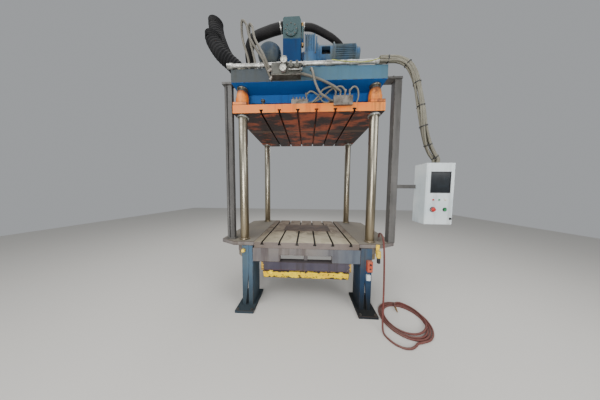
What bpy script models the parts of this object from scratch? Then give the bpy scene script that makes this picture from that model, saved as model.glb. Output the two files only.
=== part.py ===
# Four-post hydraulic press: a bed with a T-slotted bolster, four columns, a sliding platen,
# and a crown that carries the main cylinder and the hydraulic power unit.
# Metres, +Z up. The front of the press faces -Y, and the floor is at zero.

import math

import bpy
import bmesh
from mathutils import Matrix, Vector

# Driving dimensions
COLUMN_SPACING_X = 1.500
COLUMN_SPACING_Y = 1.050
COLUMN_DIAMETER = 0.100
BED_HEIGHT = 0.800
DAYLIGHT = 1.450
STROKE = 0.600
SLOT_PITCH = 0.2032
SLOTS_PER_FACE = 6
FRAME_OVERHANG = 0.100

# Fits and mesh settings
SEAT_GAP = 0.0003
RUNNING_CLEARANCE = 0.0005
OVERRUN = 0.010
WELD_SINK = 0.010
MERGE_DISTANCE = 0.0001
ROUND_SIDES = 16
SMALL_SIDES = 12
HALF_TURN = math.pi
QUARTER_TURN = math.pi / 2

# Places that several pieces share
COLUMN_X = COLUMN_SPACING_X / 2
COLUMN_Y = COLUMN_SPACING_Y / 2
COLUMN_RADIUS = COLUMN_DIAMETER / 2
FRAME_FRONT = -COLUMN_Y - FRAME_OVERHANG

# Finishes: colour, roughness, metallic
FINISHES = {
    "deep_blue": ((0.020, 0.095, 0.240), 0.45, 0.0),
    "dusty_blue": ((0.150, 0.220, 0.270), 0.75, 0.0),
    "orange": ((0.560, 0.190, 0.045), 0.55, 0.0),
    "machined_steel": ((0.330, 0.310, 0.280), 0.45, 0.8),
    "polished_steel": ((0.520, 0.500, 0.450), 0.25, 1.0),
    "bed_grey": ((0.170, 0.170, 0.180), 0.65, 0.2),
    "dark_steel": ((0.060, 0.060, 0.065), 0.60, 0.5),
    "black_rubber": ((0.020, 0.020, 0.022), 0.80, 0.0),
    "grey_hose": ((0.180, 0.175, 0.160), 0.75, 0.0),
    "red_hose": ((0.200, 0.070, 0.055), 0.70, 0.0),
    "galvanised": ((0.560, 0.560, 0.540), 0.40, 0.9),
    "yellow": ((0.760, 0.550, 0.030), 0.60, 0.0),
    "apron_grey": ((0.200, 0.180, 0.220), 0.70, 0.2),
    "gauge_face": ((0.750, 0.740, 0.680), 0.40, 0.1),
    "needle_black": ((0.010, 0.010, 0.010), 0.50, 0.0),
    "white_box": ((0.700, 0.710, 0.700), 0.50, 0.0),
    "red_box": ((0.420, 0.080, 0.040), 0.55, 0.0),
    "green_button": ((0.020, 0.260, 0.110), 0.40, 0.0),
    "post_grey": ((0.290, 0.300, 0.310), 0.60, 0.3),
    "brass": ((0.550, 0.380, 0.130), 0.40, 1.0),
}

for old_object in list(bpy.data.objects):
    bpy.data.objects.remove(old_object, do_unlink=True)

PARTS = bpy.data.collections.new("hydraulic_press")
CUTTERS = bpy.data.collections.new("cutters")
bpy.context.scene.collection.children.link(PARTS)
bpy.context.scene.collection.children.link(CUTTERS)

DATUM = bpy.data.objects.new("press_datum", None)
PARTS.objects.link(DATUM)


def add(name, data, finish, location=(0, 0, 0), rotation=(0, 0, 0)):
    """Put an object with its own material into the press."""
    obj = bpy.data.objects.new(name, data)
    obj.location = location
    obj.rotation_euler = rotation
    obj.parent = DATUM
    PARTS.objects.link(obj)
    colour, roughness, metallic = FINISHES[finish]
    material = bpy.data.materials.new(name + "_" + finish)
    material.use_nodes = True
    shader = material.node_tree.nodes["Principled BSDF"]
    shader.inputs["Base Color"].default_value = (*colour, 1.0)
    shader.inputs["Roughness"].default_value = roughness
    shader.inputs["Metallic"].default_value = metallic
    data.materials.append(material)
    return obj


def combine(target, tool, operation):
    """Join or cut the target with a tool that stays as a guide."""
    step = target.modifiers.new(operation.lower(), "BOOLEAN")
    step.operation = operation
    step.solver = "EXACT"
    step.object = tool
    tool.hide_render = True
    tool.display_type = "WIRE"
    PARTS.objects.unlink(tool)
    CUTTERS.objects.link(tool)


def turning_bore(radius, sides):
    """The radius of a faceted bore in which a faceted shaft can turn all the way round."""
    return radius / math.cos(HALF_TURN / sides) + SEAT_GAP


def fuse(target, *tools):
    for tool in tools:
        combine(target, tool, "UNION")


def cut(target, *tools):
    for tool in tools:
        combine(target, tool, "DIFFERENCE")


def block(name, low, high, finish="dark_steel", edge=0.0):
    """A box between two corners, with its edges rounded if asked."""
    mesh = bpy.data.meshes.new(name)
    form = bmesh.new()
    bmesh.ops.create_cube(form, size=1)
    size = [top - bottom for bottom, top in zip(low, high)]
    bmesh.ops.scale(form, vec=size, verts=form.verts)
    form.to_mesh(mesh)
    form.free()
    centre = [(top + bottom) / 2 for bottom, top in zip(low, high)]
    obj = add(name, mesh, finish, centre)
    if edge:
        bevel = obj.modifiers.new("edges", "BEVEL")
        bevel.width = edge
        bevel.segments = 1
    return obj


def turned(name, profile, finish="dark_steel", location=(0, 0, 0), rotation=(0, 0, 0), ring=False,
           sides=ROUND_SIDES):
    """A solid of revolution about local Z. The profile holds (radius, height) points that run
    from top to bottom on the outer side; a ring's profile comes back up on its inner side."""
    mesh = bpy.data.meshes.new(name)
    points = [(radius, 0, height) for radius, height in profile]
    edges = [(index, index + 1) for index in range(len(points) - 1)]
    if ring:
        edges.append((len(points) - 1, 0))
    mesh.from_pydata(points, edges, [])
    obj = add(name, mesh, finish, location, rotation)
    screw = obj.modifiers.new("turn", "SCREW")
    screw.steps = sides
    screw.render_steps = sides
    screw.use_merge_vertices = True
    screw.merge_threshold = MERGE_DISTANCE
    screw.use_smooth_shade = True
    return obj


def cylinder(name, radius, bottom, top, finish="dark_steel", location=(0, 0, 0), rotation=(0, 0, 0),
             sides=ROUND_SIDES):
    """A plain cylinder along local Z between two heights."""
    profile = [(0, top), (radius, top), (radius, bottom), (0, bottom)]
    return turned(name, profile, finish, location, rotation, sides=sides)


def outline_piece(name, outlines, thickness, finish="dark_steel", location=(0, 0, 0),
                  rotation=(0, 0, 0)):
    """A flat outline in local XY, with any holes, given a thickness along local Z."""
    curve = bpy.data.curves.new(name, "CURVE")
    curve.dimensions = "2D"
    curve.fill_mode = "BOTH"
    curve.extrude = thickness / 2
    for outline in outlines:
        spline = curve.splines.new("POLY")
        spline.points.add(len(outline) - 1)
        for point, (across, up) in zip(spline.points, outline):
            point.co = (across, up, 0, 1)
        spline.use_cyclic_u = True
    sketch = bpy.data.objects.new(name + "_sketch", curve)
    CUTTERS.objects.link(sketch)
    bpy.context.view_layer.update()
    solid = sketch.evaluated_get(bpy.context.evaluated_depsgraph_get())
    mesh = bpy.data.meshes.new_from_object(solid)
    bpy.data.objects.remove(sketch, do_unlink=True)
    form = bmesh.new()
    form.from_mesh(mesh)
    bmesh.ops.remove_doubles(form, verts=form.verts, dist=MERGE_DISTANCE)
    bmesh.ops.recalc_face_normals(form, faces=form.faces)
    form.to_mesh(mesh)
    form.free()
    mesh.materials.clear()
    return add(name, mesh, finish, location, rotation)


def arc(centre, radius, start, end, steps):
    """Points on an arc of a circle, from one angle to another."""
    angles = [start + (end - start) * step / steps for step in range(steps + 1)]
    return [(centre[0] + radius * math.cos(a), centre[1] + radius * math.sin(a)) for a in angles]


def offset(place, reach):
    """A place moved by a reach along each axis."""
    return tuple(here + step for here, step in zip(place, reach))


def smooth_route(route, spacing):
    """Points at about the given spacing on a smooth curve through the route's own points."""
    anchors = [Vector(point) for point in route]
    ends = [2 * anchors[0] - anchors[1]] + anchors + [2 * anchors[-1] - anchors[-2]]
    points = []
    for index in range(1, len(ends) - 2):
        before, start, end, after = ends[index - 1:index + 3]
        pieces = max(1, round((end - start).length / spacing))
        for piece in range(pieces):
            t = piece / pieces
            points.append(0.5 * (2 * start + (end - before) * t
                                 + (2 * before - 5 * start + 4 * end - after) * t ** 2
                                 + (3 * start - before - 3 * end + after) * t ** 3))
    return points + [anchors[-1]]


def tube(name, route, radius, finish, spacing, sides_share=2):
    """A round hose, pipe or rod along a smooth route, with closed ends."""
    curve = bpy.data.curves.new(name, "CURVE")
    curve.dimensions = "3D"
    curve.bevel_depth = radius
    curve.bevel_resolution = sides_share
    curve.use_fill_caps = True
    points = smooth_route(route, spacing)
    spline = curve.splines.new("POLY")
    spline.points.add(len(points) - 1)
    for point, place in zip(spline.points, points):
        point.co = (*place, 1)
    return add(name, curve, finish)


def as_mesh(obj):
    """The same object with its curve made a welded mesh, so that it can be joined or cut."""
    bpy.context.view_layer.update()
    solid = obj.evaluated_get(bpy.context.evaluated_depsgraph_get())
    mesh = bpy.data.meshes.new_from_object(solid)
    form = bmesh.new()
    form.from_mesh(mesh)
    bmesh.ops.remove_doubles(form, verts=form.verts, dist=MERGE_DISTANCE)
    bmesh.ops.recalc_face_normals(form, faces=form.faces)
    form.to_mesh(mesh)
    form.free()
    name = obj.name
    place = obj.matrix_world.copy()
    bpy.data.objects.remove(obj, do_unlink=True)
    fresh = bpy.data.objects.new(name, mesh)
    fresh.matrix_world = place
    fresh.parent = DATUM
    PARTS.objects.link(fresh)
    return fresh


SIDES = {"left": -1, "right": 1}
ENDS = {"front": -1, "rear": 1}

# Turns that stand a flat outline up: across X, or across Y with X as its thickness
FACING_FRONT = (QUARTER_TURN, 0, 0)
FACING_SIDE = (QUARTER_TURN, 0, QUARTER_TURN)

# Bed: box weldment, bolster, wings under the columns, side frames with feet
BOLSTER_SIDE_GAP = 0.150
BOLSTER_WIDTH = COLUMN_SPACING_X - 2 * BOLSTER_SIDE_GAP
BOLSTER_THICKNESS = 0.070
SLOT_NECK = 0.021
SLOT_HEAD = 0.038
SLOT_HEAD_HEIGHT = 0.016
SLOT_DEPTH = 0.036
BED_BOX_HEIGHT = 0.165
BED_BOX_WALL = 0.045
BED_TOP_PLATE = 0.050
BED_BOX_SETBACK = 0.005
WINDOW_WIDTH = 0.596
WINDOW_HEIGHT = 0.080
SIDE_FRAME_STEP = 0.020
SIDE_FRAME_THICKNESS = 0.055
SIDE_FRAME_LEG = 0.240
SIDE_FRAME_RAIL = 0.290
SIDE_FRAME_CORNER = 0.070
ARC_STEPS = 4
FOOT_THICKNESS = 0.030
FOOT_INSET = 0.035
FOOT_OUTSET = 0.125
FOOT_FRONT_LIP = 0.095
FOOT_BACK_LIP = 0.050
GUSSET_THICKNESS = 0.020
GUSSET_REACH = 0.070
GUSSET_TOE = 0.039
GUSSET_TAPER_HEIGHT = 0.500
WING_WIDTH = 0.430
WING_THICKNESS = 0.045
WING_CHAMFER_X = 0.190
WING_CHAMFER_Y = 0.095
BOSS_RADIUS = 0.073
BOSS_HEIGHT = 0.080

BED_UNDERSIDE = BED_HEIGHT - BOLSTER_THICKNESS - BED_BOX_HEIGHT
WING_UNDERSIDE = BED_HEIGHT - WING_THICKNESS
WING_INNER = BOLSTER_WIDTH / 2 + SEAT_GAP
WING_OUTER = BOLSTER_WIDTH / 2 + WING_WIDTH
BOSS_UNDERSIDE = WING_UNDERSIDE - BOSS_HEIGHT
BED_BOX_FRONT = FRAME_FRONT + BED_BOX_SETBACK
SIDE_FRAME_INNER = BOLSTER_WIDTH / 2 + SIDE_FRAME_STEP
SIDE_FRAME_OUTER = SIDE_FRAME_INNER + SIDE_FRAME_THICKNESS
COLUMN_HOLE = COLUMN_RADIUS + RUNNING_CLEARANCE


def t_slot_cutter(name, face, direction, depth):
    """T-slots along Y in a face; direction is +1 where the slots go up into the piece."""
    outlines = []
    for index in range(SLOTS_PER_FACE):
        middle = (index - (SLOTS_PER_FACE - 1) / 2) * SLOT_PITCH
        neck_end = face + direction * (SLOT_DEPTH - SLOT_HEAD_HEIGHT)
        bottom = face + direction * SLOT_DEPTH
        mouth = face - direction * OVERRUN
        outlines.append([
            (middle - SLOT_NECK / 2, mouth),
            (middle + SLOT_NECK / 2, mouth),
            (middle + SLOT_NECK / 2, neck_end),
            (middle + SLOT_HEAD / 2, neck_end),
            (middle + SLOT_HEAD / 2, bottom),
            (middle - SLOT_HEAD / 2, bottom),
            (middle - SLOT_HEAD / 2, neck_end),
            (middle - SLOT_NECK / 2, neck_end),
        ])
    return outline_piece(name, outlines, depth + 2 * OVERRUN, rotation=FACING_FRONT)


def column_cutter(name, x, y, radius, bottom, top):
    return cylinder(name, radius, bottom - OVERRUN, top + OVERRUN, location=(x, y, 0))


def build_bed():
    half = BOLSTER_WIDTH / 2
    bolster = block("bolster", (-half, FRAME_FRONT, BED_HEIGHT - BOLSTER_THICKNESS),
                    (half, -FRAME_FRONT, BED_HEIGHT), "machined_steel")
    cut(bolster, t_slot_cutter("bolster_slots", BED_HEIGHT, -1, -2 * FRAME_FRONT))

    box_half = SIDE_FRAME_INNER - SEAT_GAP
    box_top = BED_HEIGHT - BOLSTER_THICKNESS - SEAT_GAP
    bed = block("bed_frame", (-box_half, BED_BOX_FRONT, BED_UNDERSIDE),
                (box_half, -BED_BOX_FRONT, box_top), "bed_grey")
    pocket_inner = BED_BOX_WALL / 2
    pocket_top = box_top - BED_TOP_PLATE
    for side, sign_x in SIDES.items():
        for end, sign_y in ENDS.items():
            corner_a = (sign_x * pocket_inner, sign_y * pocket_inner, BED_UNDERSIDE - OVERRUN)
            corner_b = (sign_x * (box_half - BED_BOX_WALL),
                        sign_y * (-BED_BOX_FRONT - BED_BOX_WALL), pocket_top)
            low = [min(pair) for pair in zip(corner_a, corner_b)]
            high = [max(pair) for pair in zip(corner_a, corner_b)]
            cut(bed, block(f"bed_pocket_{end}_{side}", low, high))
    cut(bed, block("bed_window",
                   (-WINDOW_WIDTH / 2, BED_BOX_FRONT - OVERRUN, BED_UNDERSIDE - OVERRUN),
                   (WINDOW_WIDTH / 2, BED_BOX_FRONT + BED_BOX_WALL + OVERRUN,
                    BED_UNDERSIDE + WINDOW_HEIGHT)))

    for side, sign in SIDES.items():
        build_wing(side, sign)
        build_side_frame(side, sign)


def build_wing(side, sign):
    """The plate that ties the columns to the bed, with a boss round each column below it."""
    rear = -FRAME_FRONT
    outline = [
        (WING_INNER, FRAME_FRONT),
        (WING_OUTER - WING_CHAMFER_X, FRAME_FRONT),
        (WING_OUTER, FRAME_FRONT + WING_CHAMFER_Y),
        (WING_OUTER, rear - WING_CHAMFER_Y),
        (WING_OUTER - WING_CHAMFER_X, rear),
        (WING_INNER, rear),
    ]
    outline = [(sign * across, along) for across, along in outline]
    middle = BED_HEIGHT - WING_THICKNESS / 2
    wing = outline_piece("bed_wing_" + side, [outline], WING_THICKNESS, "bed_grey", (0, 0, middle))
    for end, sign_y in ENDS.items():
        place = (sign * COLUMN_X, sign_y * COLUMN_Y, 0)
        fuse(wing, cylinder(f"wing_boss_{end}_{side}", BOSS_RADIUS, BOSS_UNDERSIDE,
                            WING_UNDERSIDE + WELD_SINK, location=place))
        cut(wing, column_cutter(f"wing_hole_{end}_{side}", place[0], place[1], COLUMN_HOLE,
                                BOSS_UNDERSIDE, BED_HEIGHT))
    if side == "right":
        fuse(wing, cylinder("air_outlet", AIR_OUTLET_RADIUS, BED_HEIGHT - WELD_SINK,
                            BED_HEIGHT + AIR_OUTLET_HEIGHT,
                            location=(AIR_OUTLET_X, AIR_OUTLET_Y, 0), sides=SMALL_SIDES))


def build_side_frame(side, sign):
    """A thick side plate cut to an arch, with a foot and a tapered corner gusset at each leg."""
    front = BED_BOX_FRONT
    top = WING_UNDERSIDE - SEAT_GAP
    leg_inner = front + SIDE_FRAME_LEG
    arch = top - SIDE_FRAME_RAIL
    radius = SIDE_FRAME_CORNER
    ground = FOOT_THICKNESS / 2
    front_curve = arc((leg_inner + radius, arch - radius), radius, HALF_TURN, QUARTER_TURN,
                      ARC_STEPS)
    rear_curve = arc((-leg_inner - radius, arch - radius), radius, QUARTER_TURN, 0, ARC_STEPS)
    outline = [(front, ground), (front, top), (-front, top), (-front, ground),
               (-leg_inner, ground)]
    outline += rear_curve[::-1] + front_curve[::-1] + [(leg_inner, ground)]
    middle = sign * (SIDE_FRAME_INNER + SIDE_FRAME_THICKNESS / 2)
    frame = outline_piece("side_frame_" + side, [outline], SIDE_FRAME_THICKNESS, "deep_blue",
                          (middle, 0, 0), FACING_SIDE)
    for end, sign_y in ENDS.items():
        outer_y = sign_y * (-front + FOOT_FRONT_LIP)
        inner_y = sign_y * (-leg_inner - FOOT_BACK_LIP)
        inner_x = sign * (SIDE_FRAME_INNER - FOOT_INSET)
        outer_x = sign * (SIDE_FRAME_OUTER + FOOT_OUTSET)
        fuse(frame, block(f"foot_{end}_{side}",
                          (min(inner_x, outer_x), min(inner_y, outer_y), 0),
                          (max(inner_x, outer_x), max(inner_y, outer_y), FOOT_THICKNESS)))
        gusset_y = sign_y * (-FRAME_FRONT - GUSSET_THICKNESS / 2)
        fuse(frame, build_gusset(f"gusset_{end}_{side}", sign, gusset_y, top, ground))
    if side == "left":
        cut(frame, cylinder("knob_hole", turning_bore(KNOB_STEM_RADIUS, SMALL_SIDES),
                            -KNOB_STEM_LENGTH - OVERRUN, OVERRUN,
                            location=(KNOB_X, FRAME_FRONT, KNOB_Z), rotation=FACING_FRONT,
                            sides=SMALL_SIDES))


def build_gusset(name, sign, y, top, ground):
    root = SIDE_FRAME_OUTER - WELD_SINK
    tip = SIDE_FRAME_OUTER + GUSSET_REACH
    outline = [(root, top), (tip, top), (tip, ground), (tip - GUSSET_TOE, ground),
               (root, GUSSET_TAPER_HEIGHT)]
    outline = [(sign * across, up) for across, up in outline]
    return outline_piece(name, [outline], GUSSET_THICKNESS, "dusty_blue", (0, y, 0), FACING_FRONT)


# Apron under the front of the bed, and the chipped bumper bar below it
APRON_SIDE_GAP = 0.100
APRON_WIDTH = 2 * (SIDE_FRAME_INNER - APRON_SIDE_GAP)
APRON_HEIGHT = 0.100
APRON_PLATE = 0.012
APRON_FLANGE = 0.090
BUMPER_INSET = 0.015
BUMPER_WIDTH = APRON_WIDTH - 2 * BUMPER_INSET
BUMPER_HEIGHT = 0.104
BUMPER_THICKNESS = 0.024
BUMPER_DROP = 0.012
BUMPER_TILT = math.radians(18)
BUMPER_LUG = 0.040
BUMPER_LUG_PLACE_SHARES = (-0.40, 0.0, 0.40)


def build_apron():
    """A bent plate: its top flange lies under the bed box, and its face closes the front."""
    front = BED_BOX_FRONT
    top = BED_UNDERSIDE - SEAT_GAP
    profile = [(front, top), (front, top - APRON_HEIGHT), (front + APRON_PLATE, top - APRON_HEIGHT),
               (front + APRON_PLATE, top - APRON_PLATE), (front + APRON_FLANGE, top - APRON_PLATE),
               (front + APRON_FLANGE, top)]
    outline_piece("apron_plate", [profile], APRON_WIDTH, "apron_grey", rotation=FACING_SIDE)

    bar_top = top - APRON_HEIGHT - BUMPER_DROP
    bar = block("bumper_bar",
                (-BUMPER_WIDTH / 2, -BUMPER_THICKNESS / 2, -BUMPER_HEIGHT),
                (BUMPER_WIDTH / 2, BUMPER_THICKNESS / 2, 0), "yellow", BUMPER_THICKNESS / 6)
    for vertex in bar.data.vertices:
        vertex.co.z -= BUMPER_HEIGHT / 2
    bar.location = (0, front + BUMPER_THICKNESS, bar_top)
    bar.rotation_euler = (BUMPER_TILT, 0, 0)
    for index, share in enumerate(BUMPER_LUG_PLACE_SHARES):
        middle = share * BUMPER_WIDTH
        back = front + APRON_PLATE + SEAT_GAP
        fuse(bar, block(f"bumper_lug_{index}", (middle - BUMPER_LUG / 2, back,
                                                bar_top - BUMPER_HEIGHT / 2),
                        (middle + BUMPER_LUG / 2, back + BUMPER_LUG / 2,
                         bar_top + BUMPER_DROP + APRON_HEIGHT / 2)))


# Moving platen with its guide bushings and manifolds
PLATEN_SIDE_LIP = 0.080
PLATEN_END_LIP = 0.085
PLATEN_WIDTH = COLUMN_SPACING_X + 2 * PLATEN_SIDE_LIP
PLATEN_DEPTH = COLUMN_SPACING_Y + 2 * PLATEN_END_LIP
PLATEN_THICKNESS = 0.090
BUSHING_PAD = 0.160
BUSHING_PAD_HEIGHT = 0.035
BUSHING_RADIUS = 0.067
BUSHING_BARREL = 0.095
BUSHING_CONE = 0.050
BUSHING_NECK_RADIUS = 0.056
BUSHING_RING_RADIUS = 0.066
BUSHING_RING_HEIGHT = 0.018
BUSHING_SPIGOT_RADIUS = 0.060
HEADROOM = 0.225

PLATEN_UNDERSIDE = BED_HEIGHT + DAYLIGHT
PLATEN_TOP = PLATEN_UNDERSIDE + PLATEN_THICKNESS
BEAM_UNDERSIDE = PLATEN_TOP + HEADROOM


def build_platen():
    platen = block("platen", (-PLATEN_WIDTH / 2, -PLATEN_DEPTH / 2, PLATEN_UNDERSIDE),
                   (PLATEN_WIDTH / 2, PLATEN_DEPTH / 2, PLATEN_TOP), "orange")
    cut(platen, t_slot_cutter("platen_slots", PLATEN_UNDERSIDE, 1, PLATEN_DEPTH))
    for side, sign_x in SIDES.items():
        for end, sign_y in ENDS.items():
            cut(platen, column_cutter(f"platen_hole_{end}_{side}", sign_x * COLUMN_X,
                                      sign_y * COLUMN_Y, BUSHING_SPIGOT_RADIUS + SEAT_GAP,
                                      PLATEN_UNDERSIDE, PLATEN_TOP))
            build_bushing(f"guide_bushing_{end}_{side}", sign_x, sign_y)


def build_bushing(name, sign_x, sign_y):
    """A guide bushing: square foot on the platen, tapered housing, spigot and ring below."""
    foot = PLATEN_TOP + SEAT_GAP
    shoulder = foot + BUSHING_PAD_HEIGHT
    barrel_top = shoulder + BUSHING_BARREL
    ring_top = PLATEN_UNDERSIDE - SEAT_GAP
    profile = [
        (COLUMN_HOLE, barrel_top + BUSHING_CONE),
        (BUSHING_NECK_RADIUS, barrel_top + BUSHING_CONE),
        (BUSHING_RADIUS, barrel_top),
        (BUSHING_RADIUS, foot),
        (BUSHING_SPIGOT_RADIUS, foot),
        (BUSHING_SPIGOT_RADIUS, ring_top),
        (BUSHING_RING_RADIUS, ring_top),
        (BUSHING_RING_RADIUS, ring_top - BUSHING_RING_HEIGHT),
        (COLUMN_HOLE, ring_top - BUSHING_RING_HEIGHT),
    ]
    bushing = turned(name, profile, "orange", (sign_x * COLUMN_X, sign_y * COLUMN_Y, 0), ring=True)
    outer_x = PLATEN_WIDTH / 2 - COLUMN_X
    outer_y = PLATEN_DEPTH / 2 - COLUMN_Y
    near, far = -BUSHING_PAD / 2, (outer_x, outer_y)
    low = [min(sign_x * near, sign_x * far[0]), min(sign_y * near, sign_y * far[1]), foot]
    high = [max(sign_x * near, sign_x * far[0]), max(sign_y * near, sign_y * far[1]), shoulder]
    centre = (sign_x * COLUMN_X, sign_y * COLUMN_Y)
    pad = block(name + "_pad", (low[0] + centre[0], low[1] + centre[1], low[2]),
                (high[0] + centre[0], high[1] + centre[1], high[2]))
    cut(pad, cylinder(name + "_pad_hole", (BUSHING_RADIUS + COLUMN_HOLE) / 2, foot - OVERRUN,
                      shoulder + OVERRUN, location=(*centre, 0)))
    fuse(bushing, pad)


# Columns, with the nuts and collars that clamp the wings and the crown
NUT_RADIUS = 0.070
NUT_HEIGHT = 0.070
COLLAR_RADIUS = 0.060
COLLAR_HEIGHT = 0.018
END_CHAMFER = 0.008
END_STUB = 0.016
BEAM_HEIGHT = 0.140
CROWN_TOP = BEAM_UNDERSIDE + BEAM_HEIGHT


def build_columns():
    top_nut = CROWN_TOP + SEAT_GAP + NUT_HEIGHT
    lower_nut = BOSS_UNDERSIDE - SEAT_GAP
    profile = [
        (0, top_nut + END_STUB),
        (COLUMN_RADIUS - END_CHAMFER, top_nut + END_STUB),
        (COLUMN_RADIUS, top_nut + END_STUB - END_CHAMFER),
        (COLUMN_RADIUS, top_nut),
        (NUT_RADIUS, top_nut),
        (NUT_RADIUS, CROWN_TOP + SEAT_GAP),
        (COLUMN_RADIUS, CROWN_TOP + SEAT_GAP),
        (COLUMN_RADIUS, BEAM_UNDERSIDE - SEAT_GAP),
        (COLLAR_RADIUS, BEAM_UNDERSIDE - SEAT_GAP),
        (COLLAR_RADIUS, BEAM_UNDERSIDE - SEAT_GAP - COLLAR_HEIGHT),
        (COLUMN_RADIUS, BEAM_UNDERSIDE - SEAT_GAP - COLLAR_HEIGHT),
        (COLUMN_RADIUS, BED_HEIGHT + SEAT_GAP + COLLAR_HEIGHT),
        (COLLAR_RADIUS, BED_HEIGHT + SEAT_GAP + COLLAR_HEIGHT),
        (COLLAR_RADIUS, BED_HEIGHT + SEAT_GAP),
        (COLUMN_RADIUS, BED_HEIGHT + SEAT_GAP),
        (COLUMN_RADIUS, lower_nut),
        (NUT_RADIUS, lower_nut),
        (NUT_RADIUS, lower_nut - NUT_HEIGHT),
        (COLUMN_RADIUS, lower_nut - NUT_HEIGHT),
        (COLUMN_RADIUS, lower_nut - NUT_HEIGHT - END_CHAMFER),
        (0, lower_nut - NUT_HEIGHT - END_CHAMFER),
    ]
    for side, sign_x in SIDES.items():
        for end, sign_y in ENDS.items():
            turned(f"column_{end}_{side}", profile, "polished_steel",
                   (sign_x * COLUMN_X, sign_y * COLUMN_Y, 0))


# Crown: deep box between the column lines, with a beam over each pair of columns
CROWN_SIDE_LIP = 0.085
CROWN_WIDTH = COLUMN_SPACING_X + 2 * CROWN_SIDE_LIP
BEAM_DEPTH = 0.220
CROWN_BOX_DROP = 0.095
CROWN_BOX_TOP_STEP = 0.005
CROWN_BOX_INSET = 0.005
CYLINDER_RADIUS = 0.180


def build_crown():
    half = CROWN_WIDTH / 2
    beam_back = FRAME_FRONT + BEAM_DEPTH
    beam = block("crown_front_beam", (-half, FRAME_FRONT, BEAM_UNDERSIDE),
                 (half, beam_back, CROWN_TOP), "dusty_blue")
    box = block("crown_box",
                (-half + CROWN_BOX_INSET, beam_back + SEAT_GAP, BEAM_UNDERSIDE - CROWN_BOX_DROP),
                (half - CROWN_BOX_INSET, -beam_back, CROWN_TOP - CROWN_BOX_TOP_STEP), "deep_blue")
    fuse(box, block("crown_rear_beam", (-half, -beam_back - WELD_SINK, BEAM_UNDERSIDE),
                    (half, -FRAME_FRONT, CROWN_TOP - CROWN_BOX_TOP_STEP)))
    for side, sign_x in SIDES.items():
        cut(beam, column_cutter(f"crown_hole_front_{side}", sign_x * COLUMN_X, -COLUMN_Y,
                                COLUMN_HOLE, BEAM_UNDERSIDE, CROWN_TOP))
        cut(box, column_cutter(f"crown_hole_rear_{side}", sign_x * COLUMN_X, COLUMN_Y,
                               COLUMN_HOLE, BEAM_UNDERSIDE, CROWN_TOP))
    cut(box, cylinder("crown_cylinder_hole", CYLINDER_RADIUS + SEAT_GAP,
                      BEAM_UNDERSIDE - CROWN_BOX_DROP - OVERRUN, CROWN_TOP + OVERRUN))


# Main cylinder, its gland, and the ram that pushes the platen
RAM_RADIUS = 0.100
PISTON_HEIGHT = 0.090
BORE_RADIUS = 0.130
RAM_FLANGE_RADIUS = 0.170
RAM_FLANGE_HEIGHT = 0.030
GLAND_HEIGHT = 0.030
GLAND_RADIUS = 0.165
GLAND_NOSE = 0.070
GLAND_DROP = 0.040
PISTON_CUSHION = 0.020
CYLINDER_FLANGE_RADIUS = 0.210
CYLINDER_FLANGE_HEIGHT = 0.050
CYLINDER_CAP = 0.040
CAP_BOSS_RADIUS = 0.070
CAP_BOSS_HEIGHT = 0.025

BARREL_BOTTOM = BEAM_UNDERSIDE - CROWN_BOX_DROP - GLAND_DROP
PISTON_BOTTOM = BARREL_BOTTOM + GLAND_NOSE + STROKE + PISTON_CUSHION
BORE_TOP = PISTON_BOTTOM + PISTON_HEIGHT + PISTON_CUSHION
BARREL_TOP = BORE_TOP + CYLINDER_CAP


def build_cylinder():
    seat = CROWN_TOP - CROWN_BOX_TOP_STEP + SEAT_GAP
    profile = [
        (0, BARREL_TOP + CAP_BOSS_HEIGHT),
        (CAP_BOSS_RADIUS, BARREL_TOP + CAP_BOSS_HEIGHT),
        (CAP_BOSS_RADIUS, BARREL_TOP),
        (CYLINDER_RADIUS, BARREL_TOP),
        (CYLINDER_RADIUS, seat + CYLINDER_FLANGE_HEIGHT),
        (CYLINDER_FLANGE_RADIUS, seat + CYLINDER_FLANGE_HEIGHT),
        (CYLINDER_FLANGE_RADIUS, seat),
        (CYLINDER_RADIUS, seat),
        (CYLINDER_RADIUS, BARREL_BOTTOM),
        (BORE_RADIUS, BARREL_BOTTOM),
        (BORE_RADIUS, BORE_TOP),
        (0, BORE_TOP),
    ]
    turned("main_cylinder", profile, "deep_blue")

    gland_top = BARREL_BOTTOM - SEAT_GAP
    nose_radius = BORE_RADIUS - RUNNING_CLEARANCE
    hole = RAM_RADIUS + RUNNING_CLEARANCE
    turned("cylinder_gland", [
        (hole, BARREL_BOTTOM + GLAND_NOSE), (nose_radius, BARREL_BOTTOM + GLAND_NOSE),
        (nose_radius, gland_top), (GLAND_RADIUS, gland_top),
        (GLAND_RADIUS, gland_top - GLAND_HEIGHT), (hole, gland_top - GLAND_HEIGHT),
    ], "dark_steel", ring=True)

    foot = PLATEN_TOP + SEAT_GAP
    piston_radius = BORE_RADIUS - RUNNING_CLEARANCE
    turned("ram", [
        (0, PISTON_BOTTOM + PISTON_HEIGHT), (piston_radius, PISTON_BOTTOM + PISTON_HEIGHT),
        (piston_radius, PISTON_BOTTOM), (RAM_RADIUS, PISTON_BOTTOM),
        (RAM_RADIUS, foot + RAM_FLANGE_HEIGHT), (RAM_FLANGE_RADIUS, foot + RAM_FLANGE_HEIGHT),
        (RAM_FLANGE_RADIUS, foot), (0, foot),
    ], "polished_steel")


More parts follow.
